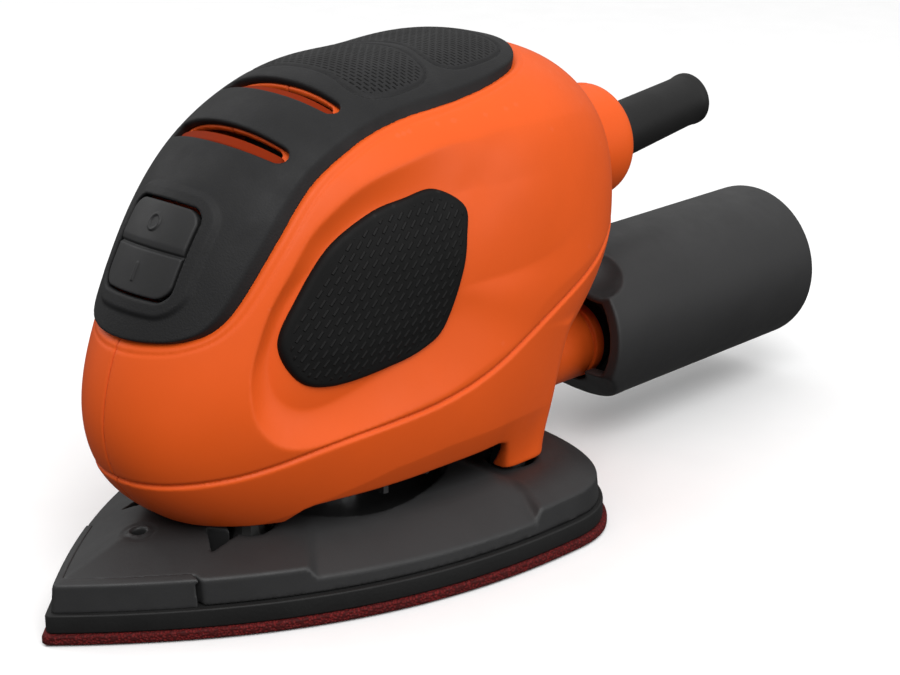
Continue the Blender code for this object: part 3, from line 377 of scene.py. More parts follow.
def surface_net(name, distance, low, high, step, block=6):
    """Closed quad mesh of the surface where distance is 0, inside the box low to high."""
    step = step * FINE
    low = np.asarray(low, float)
    cells = np.ceil((np.asarray(high, float) - low) / (step * block)).astype(int)
    field = sample(distance, low, step, cells, block)
    size = np.array(field.shape) - 1
    inside = field < 0

    def shifted(grid, corner):
        a, b, c = corner
        return grid[a:a + size[0], b:b + size[1], c:c + size[2]]

    count = sum(shifted(inside, corner).astype(np.int8) for corner in CORNERS)
    crossed = (count > 0) & (count < 8)
    number = np.full(crossed.shape, -1, np.int64)
    number[crossed] = np.arange(int(crossed.sum()))
    places = np.argwhere(crossed)
    values = np.stack([shifted(field, corner)[crossed] for corner in CORNERS], axis=-1)
    total = np.zeros((len(places), 3))
    hits = np.zeros(len(places))
    for i, j in EDGES:
        cut = (values[:, i] < 0) != (values[:, j] < 0)
        share = values[cut, i] / (values[cut, i] - values[cut, j])
        total[cut] += CORNERS[i] + share[:, None] * (CORNERS[j] - CORNERS[i])
        hits[cut] += 1
    points = low + step * (places + total / hits[:, None])
    faces = []
    for axis in range(3):
        one, two = (axis + 1) % 3, (axis + 2) % 3
        start = [slice(0, size[i]) for i in range(3)]
        start[one], start[two] = slice(1, size[one]), slice(1, size[two])
        end = list(start)
        end[axis] = slice(1, size[axis] + 1)
        first, second = inside[tuple(start)], inside[tuple(end)]
        changed = np.argwhere(first != second)
        outward = first[first != second]
        corners = []
        for shift_one, shift_two in ((0, 0), (1, 0), (1, 1), (0, 1)):
            at = changed.copy()
            at[:, one] += shift_one
            at[:, two] += shift_two
            corners.append(number[tuple(at.T)])
        quads = np.stack(corners, axis=-1)
        quads[~outward] = quads[~outward][:, ::-1]
        faces.append(quads)
    faces = np.concatenate(faces)
    return mesh_object(name, settle(distance, points, step), faces)


def vertices_of(item):
    """Places of a mesh's vertices, in millimetres."""
    places = np.empty(len(item.data.vertices) * 3, np.float32)
    item.data.vertices.foreach_get("co", places)
    return places.reshape(-1, 3).astype(float) / MM


def thin_inside(item, distance, depth, ratio):
    """Decimates the faces that lie deeper than depth under a form's surface."""
    deep = distance(vertices_of(item)) < -depth
    group = item.vertex_groups.new(name="inside")
    group.add([int(i) for i in np.flatnonzero(deep)], 1.0, "REPLACE")
    modifier = item.modifiers.new("thin", "DECIMATE")
    modifier.ratio = 1 - deep.mean() * (1 - ratio)
    modifier.vertex_group = "inside"
    modifier.vertex_group_factor = 1000.0
    graph = bpy.context.evaluated_depsgraph_get()
    mesh = bpy.data.meshes.new_from_object(item.evaluated_get(graph))
    item.modifiers.clear()
    item.data = mesh
    item.vertex_groups.clear()


def mark_dashed(item, zone):
    """Marks from 0 to 1 where a mesh carries dashes: inside a zone, clear of its edge."""
    marks = smooth_step(-(zone(vertices_of(item)) + 0.8) / 0.5).astype(np.float32)
    item.data.attributes.new("dashed", "FLOAT", "POINT").data.foreach_set("value", marks)


def turned(name, profile, start, axis_tilt=0.0, steps=96):
    """Mesh turned round an axis along Y, tilted upwards, from closed (radius, y) points."""
    profile = np.asarray(profile, float)
    turn = np.linspace(0, 2 * math.pi, steps, endpoint=False)
    radius, along = profile[:, 0][:, None], profile[:, 1][:, None]
    x = radius * np.sin(turn)
    up = radius * np.cos(turn)
    y = start[0] + along * math.cos(axis_tilt) - up * math.sin(axis_tilt)
    z = start[1] + along * math.sin(axis_tilt) + up * math.cos(axis_tilt)
    points = np.stack([x, y, z], axis=-1).reshape(-1, 3)
    count = len(profile)
    faces = []
    for i in range(count):
        for j in range(steps):
            k, after = (j + 1) % steps, (i + 1) % count
            faces.append((i * steps + j, i * steps + k, after * steps + k, after * steps + j))
    return mesh_object(name, points, faces)


def rounded_profile(points, corner, steps=5):
    """Closed profile with each of its corners replaced by an arc-like curve."""
    points = np.asarray(points, float)
    result = []
    for before, here, after in zip(np.roll(points, 1, axis=0), points,
                                   np.roll(points, -1, axis=0)):
        into, out = before - here, after - here
        size_in, size_out = np.hypot(*into), np.hypot(*out)
        reach = min(corner, 0.45 * size_in, 0.45 * size_out)
        start, end = here + into / size_in * reach, here + out / size_out * reach
        for t in np.linspace(0, 1, steps):
            result.append((1 - t) ** 2 * start + 2 * t * (1 - t) * here + t * t * end)
    return result


# ---- forms of the body

GRIP_OUTLINE = outline_field(closed_curve(
    mirrored([(x, arc_at(angle)) for angle, x in GRIP_EDGE])))
PAD_OUTLINE = outline_field(closed_curve(SIDE_PAD), 0.3)
SKIRT_OUTLINE = outline_field(SKIRT_EDGE, 0.5, 30.0)
ROCKER_MIDDLE = arc_at(sum(ROCKER_ANGLES) / 2)
ROCKER_HALF_HEIGHT = (arc_at(ROCKER_ANGLES[1]) - arc_at(ROCKER_ANGLES[0])) / 2

# Zones of raised dashes on top of the grip, as half outlines in (x, y).
DASH_ZONES = (
    outline_field(closed_curve(mirrored((
        (0.0, 5.2), (8.0, 4.8), (14.0, 4.0), (18.0, 5.5), (20.0, 10.0), (20.3, 14.5),
        (19.6, 19.0), (17.0, 22.6), (12.0, 25.0), (6.0, 27.2), (0.0, 28.2))), 6)),
    outline_field(closed_curve(mirrored((
        (0.0, 31.2), (6.0, 29.8), (11.0, 27.9), (15.5, 27.2), (18.3, 30.0), (18.9, 36.0),
        (18.0, 42.5), (15.0, 46.8), (9.0, 49.6), (0.0, 51.0))), 6)),
)

# Line moulded round the lower body, as heights at places along Y.
LINE_Y = (-49.0, -43.7, -37.7, -30.8, -23.4, -15.0, -2.3, 9.3, 21.0, 31.8, 44.7, 57.9, 66.1,
          75.0)
LINE_Z = (29.2, 30.1, 30.7, 32.1, 34.4, 36.5, 38.2, 39.6, 42.6, 47.3, 52.9, 57.0, 60.2, 65.5)

# Upper edge of the bevel under the body, as heights at places along Y.
BEVEL_Y = (-30.0, -20.0, -15.9, -12.4, -1.6, 11.7, 33.1, 60.0)
BEVEL_Z = (17.0, 21.0, 23.0, 24.2, 27.4, 28.9, 29.3, 27.0)


def evened(places, heights, reach=6):
    """Curve with its corners evened out: places 1 mm apart and the mean height round each."""
    at = np.arange(places[0], places[-1])
    wide = np.interp(np.arange(at[0] - reach, at[-1] + reach + 0.5), places, heights)
    return at, np.convolve(wide, np.full(2 * reach + 1, 1 / (2 * reach + 1)), "valid")


LINE_PLACES, LINE_HEIGHTS = evened(LINE_Y, LINE_Z)
LINE_SLOPES = np.gradient(LINE_HEIGHTS, LINE_PLACES)


def rocker_outline(p, margin):
    """Distance to the rocker's rounded outline, grown by margin, measured over the body."""
    corner = 3.2
    across = np.abs(p[..., 0]) - ROCKER_HALF_WIDTH - margin + corner
    along = np.abs(round_body(p) - ROCKER_MIDDLE) - ROCKER_HALF_HEIGHT - margin + corner
    outside = np.hypot(np.maximum(across, 0), np.maximum(along, 0))
    return outside + np.minimum(np.maximum(across, along), 0) - corner


def vent_slot(p, angle, half_length=14.9, half_width=2.55):
    """Distance to one vent's long slot, measured over the body."""
    along = round_body(p) - arc_at(angle)
    narrow = half_width - 0.75 * (p[..., 0] / 17.0) ** 2
    across = np.abs(p[..., 0]) - half_length
    return np.hypot(np.maximum(across, 0), along) - narrow


def vent_bars(p):
    """Distance to the bars that stand in the front halves of the vents' slots."""
    skin = body(p, scooped=False)
    nearest = np.full(skin.shape, 99.0)
    for angle in VENT_ANGLES:
        along = round_body(p) - arc_at(angle) - 1.0
        across = np.abs(p[..., 0]) - 14.4
        flat = np.hypot(np.maximum(across, 0), along) - 1.35
        nearest = np.minimum(nearest, both(flat, skin + 0.4, 0.6))
    return both(nearest, -(skin + 2.2), 0.3)


def body_line(p):
    """Distance from the line moulded round the lower body, along the surface."""
    height = np.interp(p[..., 1], LINE_PLACES, LINE_HEIGHTS)
    slope = np.interp(p[..., 1], LINE_PLACES, LINE_SLOPES)
    return (p[..., 2] - height) / np.sqrt(1 + slope * slope)


def cord_boss(p):
    """Round boss at the rear that holds the cord sleeve, on a gusset that runs down."""
    x, y, z = np.abs(p[..., 0]), p[..., 1], p[..., 2]
    start = 60.0 - y
    boss = both(along_y(p, BOSS_Z) - BOSS_RADIUS, both(y - BOSS_END_Y, start), 4.5)
    lean = (y - 79.5) + 0.95 * (58.5 - z)
    gusset = both(both(x - 3.2, lean / 1.4), both(46.0 - z, z - BOSS_Z))
    return either(boss, both(gusset, start), 3.0)


def rear_leg(p):
    """Foot at the rear corner of the body, over a support post."""
    x, y, z = np.abs(p[..., 0]), p[..., 1], p[..., 2]
    lift = z - 16.0
    sides = both(x - 30.6 - 0.05 * lift, 17.0 - x)
    ends = both(y - 47.4 - 0.06 * lift, 33.0 - y)
    return both(both(sides, ends, 4.5), both(14.0 - z, z - 44.0))


def sleeve_axis(p):
    """Distance from the cord sleeve's axis, which tilts upwards."""
    y, z = p[..., 1] - SLEEVE_START[0], p[..., 2] - SLEEVE_START[1]
    return np.hypot(p[..., 0], z * math.cos(SLEEVE_TILT) - y * math.sin(SLEEVE_TILT))


def shell_skin(p, plain, grip_edge):
    """The body's surface with its moulded line, its bevel and the step round the grip."""
    line = body_line(p)
    skin = plain + 0.6 * np.exp(-((line - 0.35) / 0.42) ** 2)
    skin = skin + 0.25 * smooth_step(0.5 + line) * smooth_step(1 - line / 15.0)
    under = np.interp(p[..., 1], BEVEL_Y, BEVEL_Z) - p[..., 2]
    skin = skin + 0.17 * np.maximum(under, 0.0) * smooth_step((50.0 - p[..., 1]) / 8.0)
    skin = skin + 0.2 * np.exp(-((grip_edge - 2.1) / 0.36) ** 2)
    return skin + 0.85 * np.clip(1 - (grip_edge - 0.1) / 1.6, 0.0, 1.0) ** 2


def with_screw_bosses(shell, p, plain, side):
    """One half with its screw bosses, bored through on the left and blind on the right."""
    x = p[..., 0] * side
    for at_y, at_z in SCREW_PLACES:
        axis = np.hypot(p[..., 1] - at_y, p[..., 2] - at_z)
        shell = either(shell, both(axis - SCREW_BOSS_RADIUS, plain + 1.4, 0.5), 1.0)
        bore = axis - SCREW_SHANK_RADIUS
        if side < 0:
            bore = either(bore, both(axis - SCREW_HEAD_RADIUS, SCREW_HEAD_X - x))
        else:
            bore = both(bore, x - SCREW_END_X)
        shell = without(shell, bore, 0.4)
    return shell


def housing(side):
    """Distance to one half of the clamshell body."""
    def distance(p):
        x, y, z = p[..., 0] * side, p[..., 1], p[..., 2]
        plain = body(p)
        grip_edge = GRIP_OUTLINE(x, round_body(p))
        spigot = along_y(p, SPIGOT_Z)
        outer = either(shell_skin(p, plain, grip_edge), rear_leg(p), 5.0)
        outer = either(outer, cord_boss(p), 2.2)
        hollow = either(plain + BODY_WALL, both(spigot - 10.6, 40.0 - y), 1.0)
        shell = both(without(outer, hollow, 0.6), -SKIRT_OUTLINE(y, z), 0.9)
        for post_x, post_y in POST_PLACES[2:]:
            bore = np.hypot(p[..., 0] - post_x, y - post_y) - 5.6
            shell = without(shell, both(bore, z - 40.0), 0.6)
        # Beds for the grip and the side pad, and openings for the vents and the rocker.
        shell = without(shell, both(grip_edge + 0.5, -(plain + GRIP_DEPTH - 0.1)), 0.3)
        for angle in VENT_ANGLES:
            shell = without(shell, both(vent_slot(p, angle, 12.4, 2.4), 60.0 - z), 0.4)
        shell = without(shell, both(rocker_outline(p, 2.6), 8.0 - z), 0.4)
        bed = both(PAD_OUTLINE(y, z) + 0.6, -(plain + 0.3))
        shell = without(shell, both(bed, 15.0 - x), 0.3)
        # Holes for the cord sleeve and the spigot.
        shell = without(shell, both(sleeve_axis(p) - 7.2, 60.0 - y), 0.7)
        shell = without(shell, both(spigot - SPIGOT_RADIUS - 0.4, 36.0 - y), 0.5)
        return both(with_screw_bosses(shell, p, plain, side), 0.07 - x, 0.45)

    return distance


def dash_zone(p):
    """Distance to the nearest zone of raised dashes on top of the grip."""
    nearest = np.minimum(*[zone(p[..., 0], p[..., 1]) for zone in DASH_ZONES])
    return np.where(p[..., 2] > 80.0, nearest, 9.0)


def grip(p):
    """Distance to the soft grip on the front and top."""
    plain = body(p, scooped=False)
    near_rocker = rocker_outline(p, 0.35)
    proud = GRIP_PROUD + 0.6 * smooth_step(1 - (near_rocker - 2.2) / 1.3)
    proud = proud - 0.45 * np.exp(-(dash_zone(p) / 0.34) ** 2)
    edge = GRIP_OUTLINE(p[..., 0], round_body(p))
    wall = 0.93 * edge + 0.37 * (plain + 0.3)
    form = both(plain - proud, wall, 0.35)
    form = both(form, -(plain + GRIP_DEPTH), 0.3)
    for angle in VENT_ANGLES:
        form = without(form, vent_slot(p, angle), 0.9)
    undercut = 0.85 * smooth_step(1 - plain / 0.35)
    return without(form, near_rocker - undercut, 0.45)


def rocker(p):
    """Distance to the switch's rocker: two pads with a groove between and a sign on each."""
    plain = body(p, scooped=False)
    along = round_body(p) - ROCKER_MIDDLE
    top = plain - 1.3 - 0.2 * smooth_step(-along / 1.5)
    top = top + 0.5 * np.exp(-((along - 0.3) / 0.3) ** 2)
    ring = np.hypot(p[..., 0] * 1.15, along + 4.9) - 1.55
    top = top - 0.28 * smooth_step(1 - (np.abs(ring) - 0.18) / 0.22)
    bar = np.hypot(p[..., 0], np.maximum(np.abs(along - 5.0) - 1.6, 0))
    top = top - 0.28 * smooth_step(1 - (bar - 0.18) / 0.22)
    form = both(top, rocker_outline(p, -0.2) + 0.3 * np.maximum(0.3 - plain, 0.0), 0.45)
    return both(form, -(plain + 2.6), 0.4)


def side_pad(p):
    """Distance to the right side pad, which is crowned a little."""
    edge = PAD_OUTLINE(p[..., 1], p[..., 2])
    skin = body(p)
    form = both(skin - 1.0 - 0.4 * smooth_step(-edge / 9.0), edge, 1.1)
    form = both(form, -(skin + 0.35), 0.2)
    return both(form, 12.0 - p[..., 0])


# ---- forms of the base

BASE_TIP_Y, BASE_REAR_Y, BASE_WIDEST_Y = -67.5, 67.5, 40.0
BASE_HALF_WIDTH = 47.2
BASE_TIP_ANGLE = 0.782
BASE_MIDDLE_Y = 5.0
SHEET_TOP, HOOK_TOP, PAD_TOP = 1.7, 2.8, 6.2
PLATEN_WALL_TOP, PLATEN_TOP, PLATEN_REAR_TOP = 11.5, 17.0, 14.6
PLATEN_INSET = 2.2
TIP_SEAM_Y = -42.4
TIP_SCREW_Y = -43.0


def base_outline(inset=0.0, steps=60, rear_steps=40):
    """Closed (x, y) outline of the base, moved inwards by inset."""
    reach = BASE_WIDEST_Y - BASE_TIP_Y
    start = np.array([0.65, BASE_TIP_Y])
    end = np.array([BASE_HALF_WIDTH, BASE_WIDEST_Y])
    lead = start + 0.445 * reach * np.array([math.sin(BASE_TIP_ANGLE), math.cos(BASE_TIP_ANGLE)])
    trail = end - np.array([0.0, 0.38 * reach])
    t = np.linspace(0, 1, steps)[:, None]
    side = (start * (1 - t) ** 3 + lead * 3 * t * (1 - t) ** 2
            + trail * 3 * t * t * (1 - t) + end * t ** 3)
    turn = np.linspace(0, math.pi / 2, rear_steps)[1:, None]
    power = 2 / 2.35
    rear = np.hstack([
        BASE_HALF_WIDTH * np.abs(np.cos(turn)) ** power,
        BASE_WIDEST_Y + (BASE_REAR_Y - BASE_WIDEST_Y) * np.sin(turn) ** power,
    ])
    half = np.vstack([side, rear])
    ring = np.vstack([half, half[-2::-1] * (-1, 1)])
    shrink = (1 - inset / BASE_HALF_WIDTH, 1 - 1.15 * inset / (BASE_REAR_Y - BASE_MIDDLE_Y))
    middle = np.array([0.0, BASE_MIDDLE_Y])
    return middle + (ring - middle) * shrink


BASE_OUTLINE = outline_field(base_outline(), 0.8, 10.0)
NOTCH_OUTLINE = outline_field(((8.5, -32.5), (14.7, -36.2), (14.5, -28.0)), 0.25, 6.0)


def platen_depth(p):
    """How far inside the platen's outline each point lies."""
    return -BASE_OUTLINE(p[..., 0], p[..., 1]) - PLATEN_INSET


def platen_top(p):
    """Height of the platen's upper surface above each point."""
    height = PLATEN_WALL_TOP + 0.42 * np.maximum(platen_depth(p), 0.0)
    rear = smooth_step((p[..., 1] - 26.0) / 8.0)
    ridge = PLATEN_TOP - (PLATEN_TOP - PLATEN_REAR_TOP) * rear
    return either(height, ridge, 1.6)


def steep_panel(p):
    """Distance to the steeper panel on each side of the platen, which runs out at its wall."""
    depth = platen_depth(p)
    along = np.abs(p[..., 1] - 2.7 - 0.47 * depth) - 26.2 + 0.2 * depth
    return both(along, depth - 14.0, 3.0)


def base_solid(p):
    """Distance to the platen and its tip together, before they are parted."""
    x, y, z = p[..., 0], p[..., 1], p[..., 2]
    depth = platen_depth(p)
    sunk = 2.3 * np.clip(1 - depth / 14.0, 0.0, 1.0)
    height = platen_top(p) - sunk * smooth_step(0.5 - steep_panel(p) / 2.6)
    screw = np.hypot(x, y - TIP_SCREW_Y)
    height = height + 0.35 * np.exp(-((screw - 2.1) / 0.4) ** 2) - 0.3 * smooth_step(3.9 - screw)
    top = (z - height) * 0.92
    wall = 0.10 * (z - PAD_TOP) - depth
    form = both(wall, top, 0.4)
    form = both(form, PAD_TOP + 0.1 - z, 0.3)
    seam = both(np.abs(y - TIP_SEAM_Y + 0.45) - 0.6, depth - 1.5)
    return without(form, both(seam, z - PLATEN_WALL_TOP + 0.3), 0.4)


def tip_region(p, low, rim):
    """Distance to what belongs to the tip: all below a height, and its rim to the top."""
    return both(p[..., 1] - TIP_SEAM_Y, np.minimum(p[..., 2] - low, platen_depth(p) - rim))


def tip_form(p):
    """Distance to the removable tip, with the tongue that runs under the platen."""
    x, y, z = p[..., 0], p[..., 1], p[..., 2]
    front = both(tip_region(p, 10.2, 2.3), y - TIP_SEAM_Y + 0.25)
    tongue = both(np.abs(x) - 7.7, both(y + 37.3, z - 11.3))
    kept = either(front, both(tongue, -y - 48.0))
    form = both(base_solid(p) - 0.2, kept, 0.4)
    return without(form, np.hypot(x, y - TIP_SCREW_Y) - 1.9)


def platen_form(p):
    """Distance to the platen: hollow below, open in the middle for the drive."""
    x, y, z = p[..., 0], p[..., 1], p[..., 2]
    form = without(base_solid(p), tip_region(p, 9.9, 1.9), 0.3)
    tongue = both(np.abs(x) - 8.0, both(y + 37.0, z - 11.6))
    form = without(form, tongue, 0.2)
    well = np.hypot(x - ORBIT_RADIUS, y - AXIS_Y)
    form = without(form, both(well - 27.0, 13.4 - z, 0.8), 0.6)
    form = without(form, both(well - 11.3, z - 15.3), 0.4)
    for post_x, post_y in POST_PLACES:
        cup = np.hypot(x - post_x - ORBIT_RADIUS, y - post_y)
        form = without(form, both(cup - 5.4, 10.6 - z, 0.4), 0.6)
    form = without(form, both(NOTCH_OUTLINE(np.abs(x), y), 9.5 - z), 0.4)
    return without(form, np.hypot(x, y - TIP_SCREW_Y) - 1.5, 0.3)


def tip_screw(p):
    """Distance to the socket screw that holds the tip, sunk in its hole."""
    z = p[..., 2]
    axis = np.hypot(p[..., 0], p[..., 1] - TIP_SCREW_Y)
    form = both(axis - 1.3, both(z - 14.6, 7.0 - z), 0.2)
    turn = np.arctan2(p[..., 0], p[..., 1] - TIP_SCREW_Y)
    turn = np.mod(turn, math.pi / 3) - math.pi / 6
    return without(form, both(axis * np.cos(turn) - 0.8, 13.0 - z), 0.1)


# ---- forms of the rear end

def finger_dish(p, radius):
    """Distance to the round finger dishes in both sides of the canister's mouth."""
    reach = CANISTER_RADIUS + 4.0
    middle_x = reach * math.cos(math.radians(58.0))
    middle_z = CANISTER_Z + reach * math.sin(math.radians(58.0))
    return np.sqrt((np.abs(p[..., 0]) - middle_x) ** 2
                   + (p[..., 1] - CANISTER_FRONT_Y - 0.6) ** 2
                   + (p[..., 2] - middle_z) ** 2) - radius


def canister(p):
    """Distance to the dust canister's shell."""
    y, z = p[..., 1], p[..., 2]
    axis = along_y(p, CANISTER_Z)
    inlet = along_y(p, SPIGOT_Z)
    form = both(axis - CANISTER_RADIUS, y - CANISTER_REAR_Y, 2.6)
    form = both(form, CANISTER_FRONT_Y - y, 0.5)
    room = both(axis - CANISTER_RADIUS + CANISTER_WALL, CANISTER_BULKHEAD_Y + 2.2 - y, 0.8)
    form = without(form, room, 0.8)
    mouth = both(axis - CANISTER_RADIUS + 3.2, y - CANISTER_BULKHEAD_Y, 0.6)
    mouth = without(mouth, finger_dish(p, 11.4), 0.5)
    form = without(form, mouth, 0.6)
    form = without(form, finger_dish(p, 9.8), 0.5)
    chin = (CANISTER_FRONT_Y - y + 1.12 * (19.6 - z)) / 1.5
    floor = both(axis - CANISTER_RADIUS, both(-chin - 2.6, z - 19.6), 0.4)
    floor = both(floor, y - CANISTER_BULKHEAD_Y - 1.0)
    form = either(form, without(floor, inlet - SPIGOT_RADIUS - 0.9, 0.4), 0.3)
    form = both(form, chin, 0.6)
    tube = both(inlet - 6.8, both(82.0 - y, y - 97.0), 0.4)
    stop = both(inlet - 8.6, both(92.1 - y, y - 97.0), 0.3)
    form = either(form, either(tube, stop, 0.3), 0.4)
    return without(form, both(inlet - 5.4, y - 120.0), 0.4)


def canister_lid(p):
    """Distance to the lid in the canister's rear opening, with its pull rib."""
    y = p[..., 1]
    axis = along_y(p, CANISTER_Z)
    rear = CANISTER_REAR_Y - 0.6
    edge = CANISTER_RADIUS - CANISTER_WALL - 0.3
    form = both(axis - edge, both(y - rear, rear - 8.4 - y), 0.6)
    form = without(form, both(axis - edge + 2.0, y - rear + 2.0, 0.8), 0.6)
    dish = both(axis - edge + 2.6, rear - 1.1 - y, 1.6)
    form = without(form, dish, 1.0)
    rib = both(np.abs(p[..., 0]) - 1.5, np.abs(p[..., 2] - CANISTER_Z) - edge + 2.0)
    return either(form, both(rib, both(y - rear, rear - 3.5 - y), 0.8), 1.2)


def cord_sleeve():
    """Flexible sleeve round the cord's way in, with a rim at its end."""
    length = SLEEVE_LENGTH
    profile = ((4.2, 0.0), (9.5, 0.0), (9.5, 2.0), (6.95, 2.6), (6.85, 27.0),
               (6.3, length - 5.0), (6.35, length - 2.4), (6.6, length - 1.4), (6.6, length),
               (4.6, length), (4.2, length - 0.8))
    return turned("cord_guard", rounded_profile(profile, 0.55), SLEEVE_START, SLEEVE_TILT)


def dust_port():
    """Spigot that the canister slides on to, with a ring behind a groove."""
    outer, end = SPIGOT_RADIUS, 91.8
    profile = ((7.2, 44.0), (outer, 44.0), (outer, end - 4.0), (outer - 0.8, end - 3.85),
               (outer - 0.8, end - 3.15), (outer + 0.1, end - 3.0), (outer + 0.1, end),
               (7.2, end))
    return turned("dust_port", rounded_profile(profile, 0.5), (0.0, SPIGOT_Z))


def base_layer(name, levels):
    """Layer in the base's outline, from (inset, z) pairs that run from its top to its bottom."""
    points = []
    for inset, z in levels:
        points += [(x, y, z) for x, y in base_outline(inset)]
    count = len(base_outline())
    faces = [tuple(range(count)), tuple(range(len(points) - 1, len(points) - count - 1, -1))]
    for ring in range(len(levels) - 1):
        for i in range(count):
            j = (i + 1) % count
            a = ring * count
            faces.append((a + j, a + i, a + count + i, a + count + j))
    mesh = bpy.data.meshes.new(name)
    mesh.from_pydata([tuple(c * MM for c in point) for point in points], [], faces)
    mesh.shade_smooth()
    mesh.set_sharp_from_angle(angle=math.radians(50))
    return place_object(name, mesh)


def rounded_levels(inset, low, high, corner, steps=4):
    """(inset, z) pairs for a layer with rounded edges."""
    angles = [math.pi / 2 * i / steps for i in range(steps + 1)]
    arc = [(corner * (1 - math.sin(a)), corner * (1 - math.cos(a))) for a in angles]
    return ([(inset + first, high - second) for first, second in arc]
            + [(inset + second, low + first) for first, second in arc])


def mirror_copy(item, name):
    """The same mesh on the other side of the centre plane."""
    mesh = item.data.copy()
    mesh.name = name
    mesh.transform(Matrix.Diagonal((-1, 1, 1, 1)))
    mesh.flip_normals()
    return place_object(name, mesh)


# ---- materials

def set_inputs(tree, node, **inputs):
    """Sets a node's inputs, spaces in names as underscores, to a constant or another's output."""
    for name, value in inputs.items():
        socket = node.inputs[name.replace("_", " ")]
        if isinstance(value, bpy.types.NodeSocket):
            tree.links.new(value, socket)
        else:
            socket.default_value = value
    return node


def add_node(tree, kind, **inputs):
    return set_inputs(tree, tree.nodes.new(kind), **inputs)


def object_place(tree):
    return tree.nodes.new("ShaderNodeTexCoord").outputs["Object"]


def noise(tree, scale, detail=3.0, roughness=0.5, stretch=None):
    """Noise over the object's own coordinates, at a scale in waves per millimetre."""
    place = object_place(tree)
    if stretch:
        place = add_node(tree, "ShaderNodeMapping", Vector=place, Scale=stretch).outputs["Vector"]
    return add_node(tree, "ShaderNodeTexNoise", Vector=place, Scale=scale / MM, Detail=detail,
                    Roughness=roughness).outputs["Fac"]


def ramp(tree, source, low, high, start, end):
    """Maps source from low..high to start..end, held at its ends."""
    return add_node(tree, "ShaderNodeMapRange", Value=source, From_Min=low, From_Max=high,
                    To_Min=start, To_Max=end).outputs["Result"]


def mix_colour(tree, factor, first, second):
    """Mix of two colours, each a socket or (r, g, b)."""
    node = tree.nodes.new("ShaderNodeMix")
    node.data_type = "RGBA"
    tree.links.new(factor, node.inputs["Factor"])
    for socket, value in ((node.inputs[6], first), (node.inputs[7], second)):
        if isinstance(value, tuple):
            socket.default_value = (*value, 1.0)
        else:
            tree.links.new(value, socket)
    return node.outputs[2]


def dash_mask(tree, turn, spacing):
    """1 on short staggered dashes, where the mesh's "dashed" attribute is 1, and 0 elsewhere."""
    mapping = add_node(tree, "ShaderNodeMapping", Vector=object_place(tree), Rotation=turn)
    bricks = add_node(tree, "ShaderNodeTexBrick", Vector=mapping.outputs["Vector"],
                      Scale=0.5 / (spacing * MM), Mortar_Size=0.1, Mortar_Smooth=0.3,
                      Brick_Width=0.5, Row_Height=0.26)
    zone = tree.nodes.new("ShaderNodeAttribute")
    zone.attribute_name = "dashed"
    product = tree.nodes.new("ShaderNodeMath")
    product.operation = "MULTIPLY"
    tree.links.new(ramp(tree, bricks.outputs["Fac"], 0.0, 1.0, 1.0, 0.0), product.inputs[0])
    tree.links.new(zone.outputs["Fac"], product.inputs[1])
    return product.outputs["Value"]


def bump_node(tree, height, strength, depth):
    return add_node(tree, "ShaderNodeBump", Height=height, Strength=strength,
                    Distance=depth * MM)


MATERIALS = {}


def new_material(name):
    """Adds a material to MATERIALS and gives its node tree and its shader."""
    material = bpy.data.materials.new(name)
    material.use_nodes = True
    MATERIALS[name] = material
    return material.node_tree, material.node_tree.nodes["Principled BSDF"]


def finish(name, colour, roughness, grain=1.6, depth=0.03, variation=0.10, edge=0.25,
           metallic=0.0, specular=0.5, stretch=None, dashes=None):
    """Moulded or machined finish: mottled colour, fine grain, uneven gloss and pale edges."""
    tree, shader = new_material(name)
    dark = tuple(c * (1 - variation) for c in colour)
    light = tuple(min(c * (1 + variation), 1.0) for c in colour)
    worn = tuple(c + (1 - c) * 0.12 for c in light)
    broad = noise(tree, 0.05, 4.0)
    base = mix_colour(tree, ramp(tree, broad, 0.35, 0.65, 0.0, 1.0), dark, light)
    fine = noise(tree, grain, 4.0, 0.6, stretch)
    base = mix_colour(tree, ramp(tree, fine, 0.3, 0.8, 0.0, 0.35), base, dark)
    bump = bump_node(tree, fine, 0.6, depth)
    if dashes:
        turn, spacing, height, tone, shine = dashes
        dashed = dash_mask(tree, turn, spacing)
        # Dash colour: darker on the grip, and lighter on the side pad as a painted highlight.
        base = mix_colour(tree, dashed, base, tone)
        specular = ramp(tree, dashed, 0.0, 1.0, specular, shine)
        raised = bump_node(tree, dashed, 1.0, height)
        set_inputs(tree, bump, Normal=raised.outputs["Normal"])
    shape = tree.nodes.new("ShaderNodeNewGeometry")
    wear = ramp(tree, shape.outputs["Pointiness"], 0.52, 0.60, 0.0, edge)
    smudge = noise(tree, 0.12, 5.0, 0.65)
    gloss = ramp(tree, smudge, 0.3, 0.7, roughness - 0.06, roughness + 0.07)
    set_inputs(tree, shader, Metallic=metallic, Specular_IOR_Level=specular, Roughness=gloss,
               Base_Color=mix_colour(tree, wear, base, worn), Normal=bump.outputs["Normal"])


def grit(name, colour, dark_colour, grain, depth):
    """Abrasive or fabric face: coarse cells that differ in colour and stand out."""
    tree, shader = new_material(name)
    cells = add_node(tree, "ShaderNodeTexVoronoi", Vector=object_place(tree), Scale=grain / MM)
    speckle = ramp(tree, cells.outputs["Distance"], 0.1, 0.7, 0.0, 1.0)
    patchy = ramp(tree, noise(tree, 0.25, 5.0), 0.3, 0.7, 0.0, 0.5)
    base = mix_colour(tree, speckle, colour, dark_colour)
    gloss = ramp(tree, noise(tree, 0.8), 0.3, 0.7, 0.62, 0.9)
    bump = bump_node(tree, speckle, 1.0, depth)
    set_inputs(tree, shader, Specular_IOR_Level=0.2, Roughness=gloss,
               Base_Color=mix_colour(tree, patchy, base, dark_colour),
               Normal=bump.outputs["Normal"])


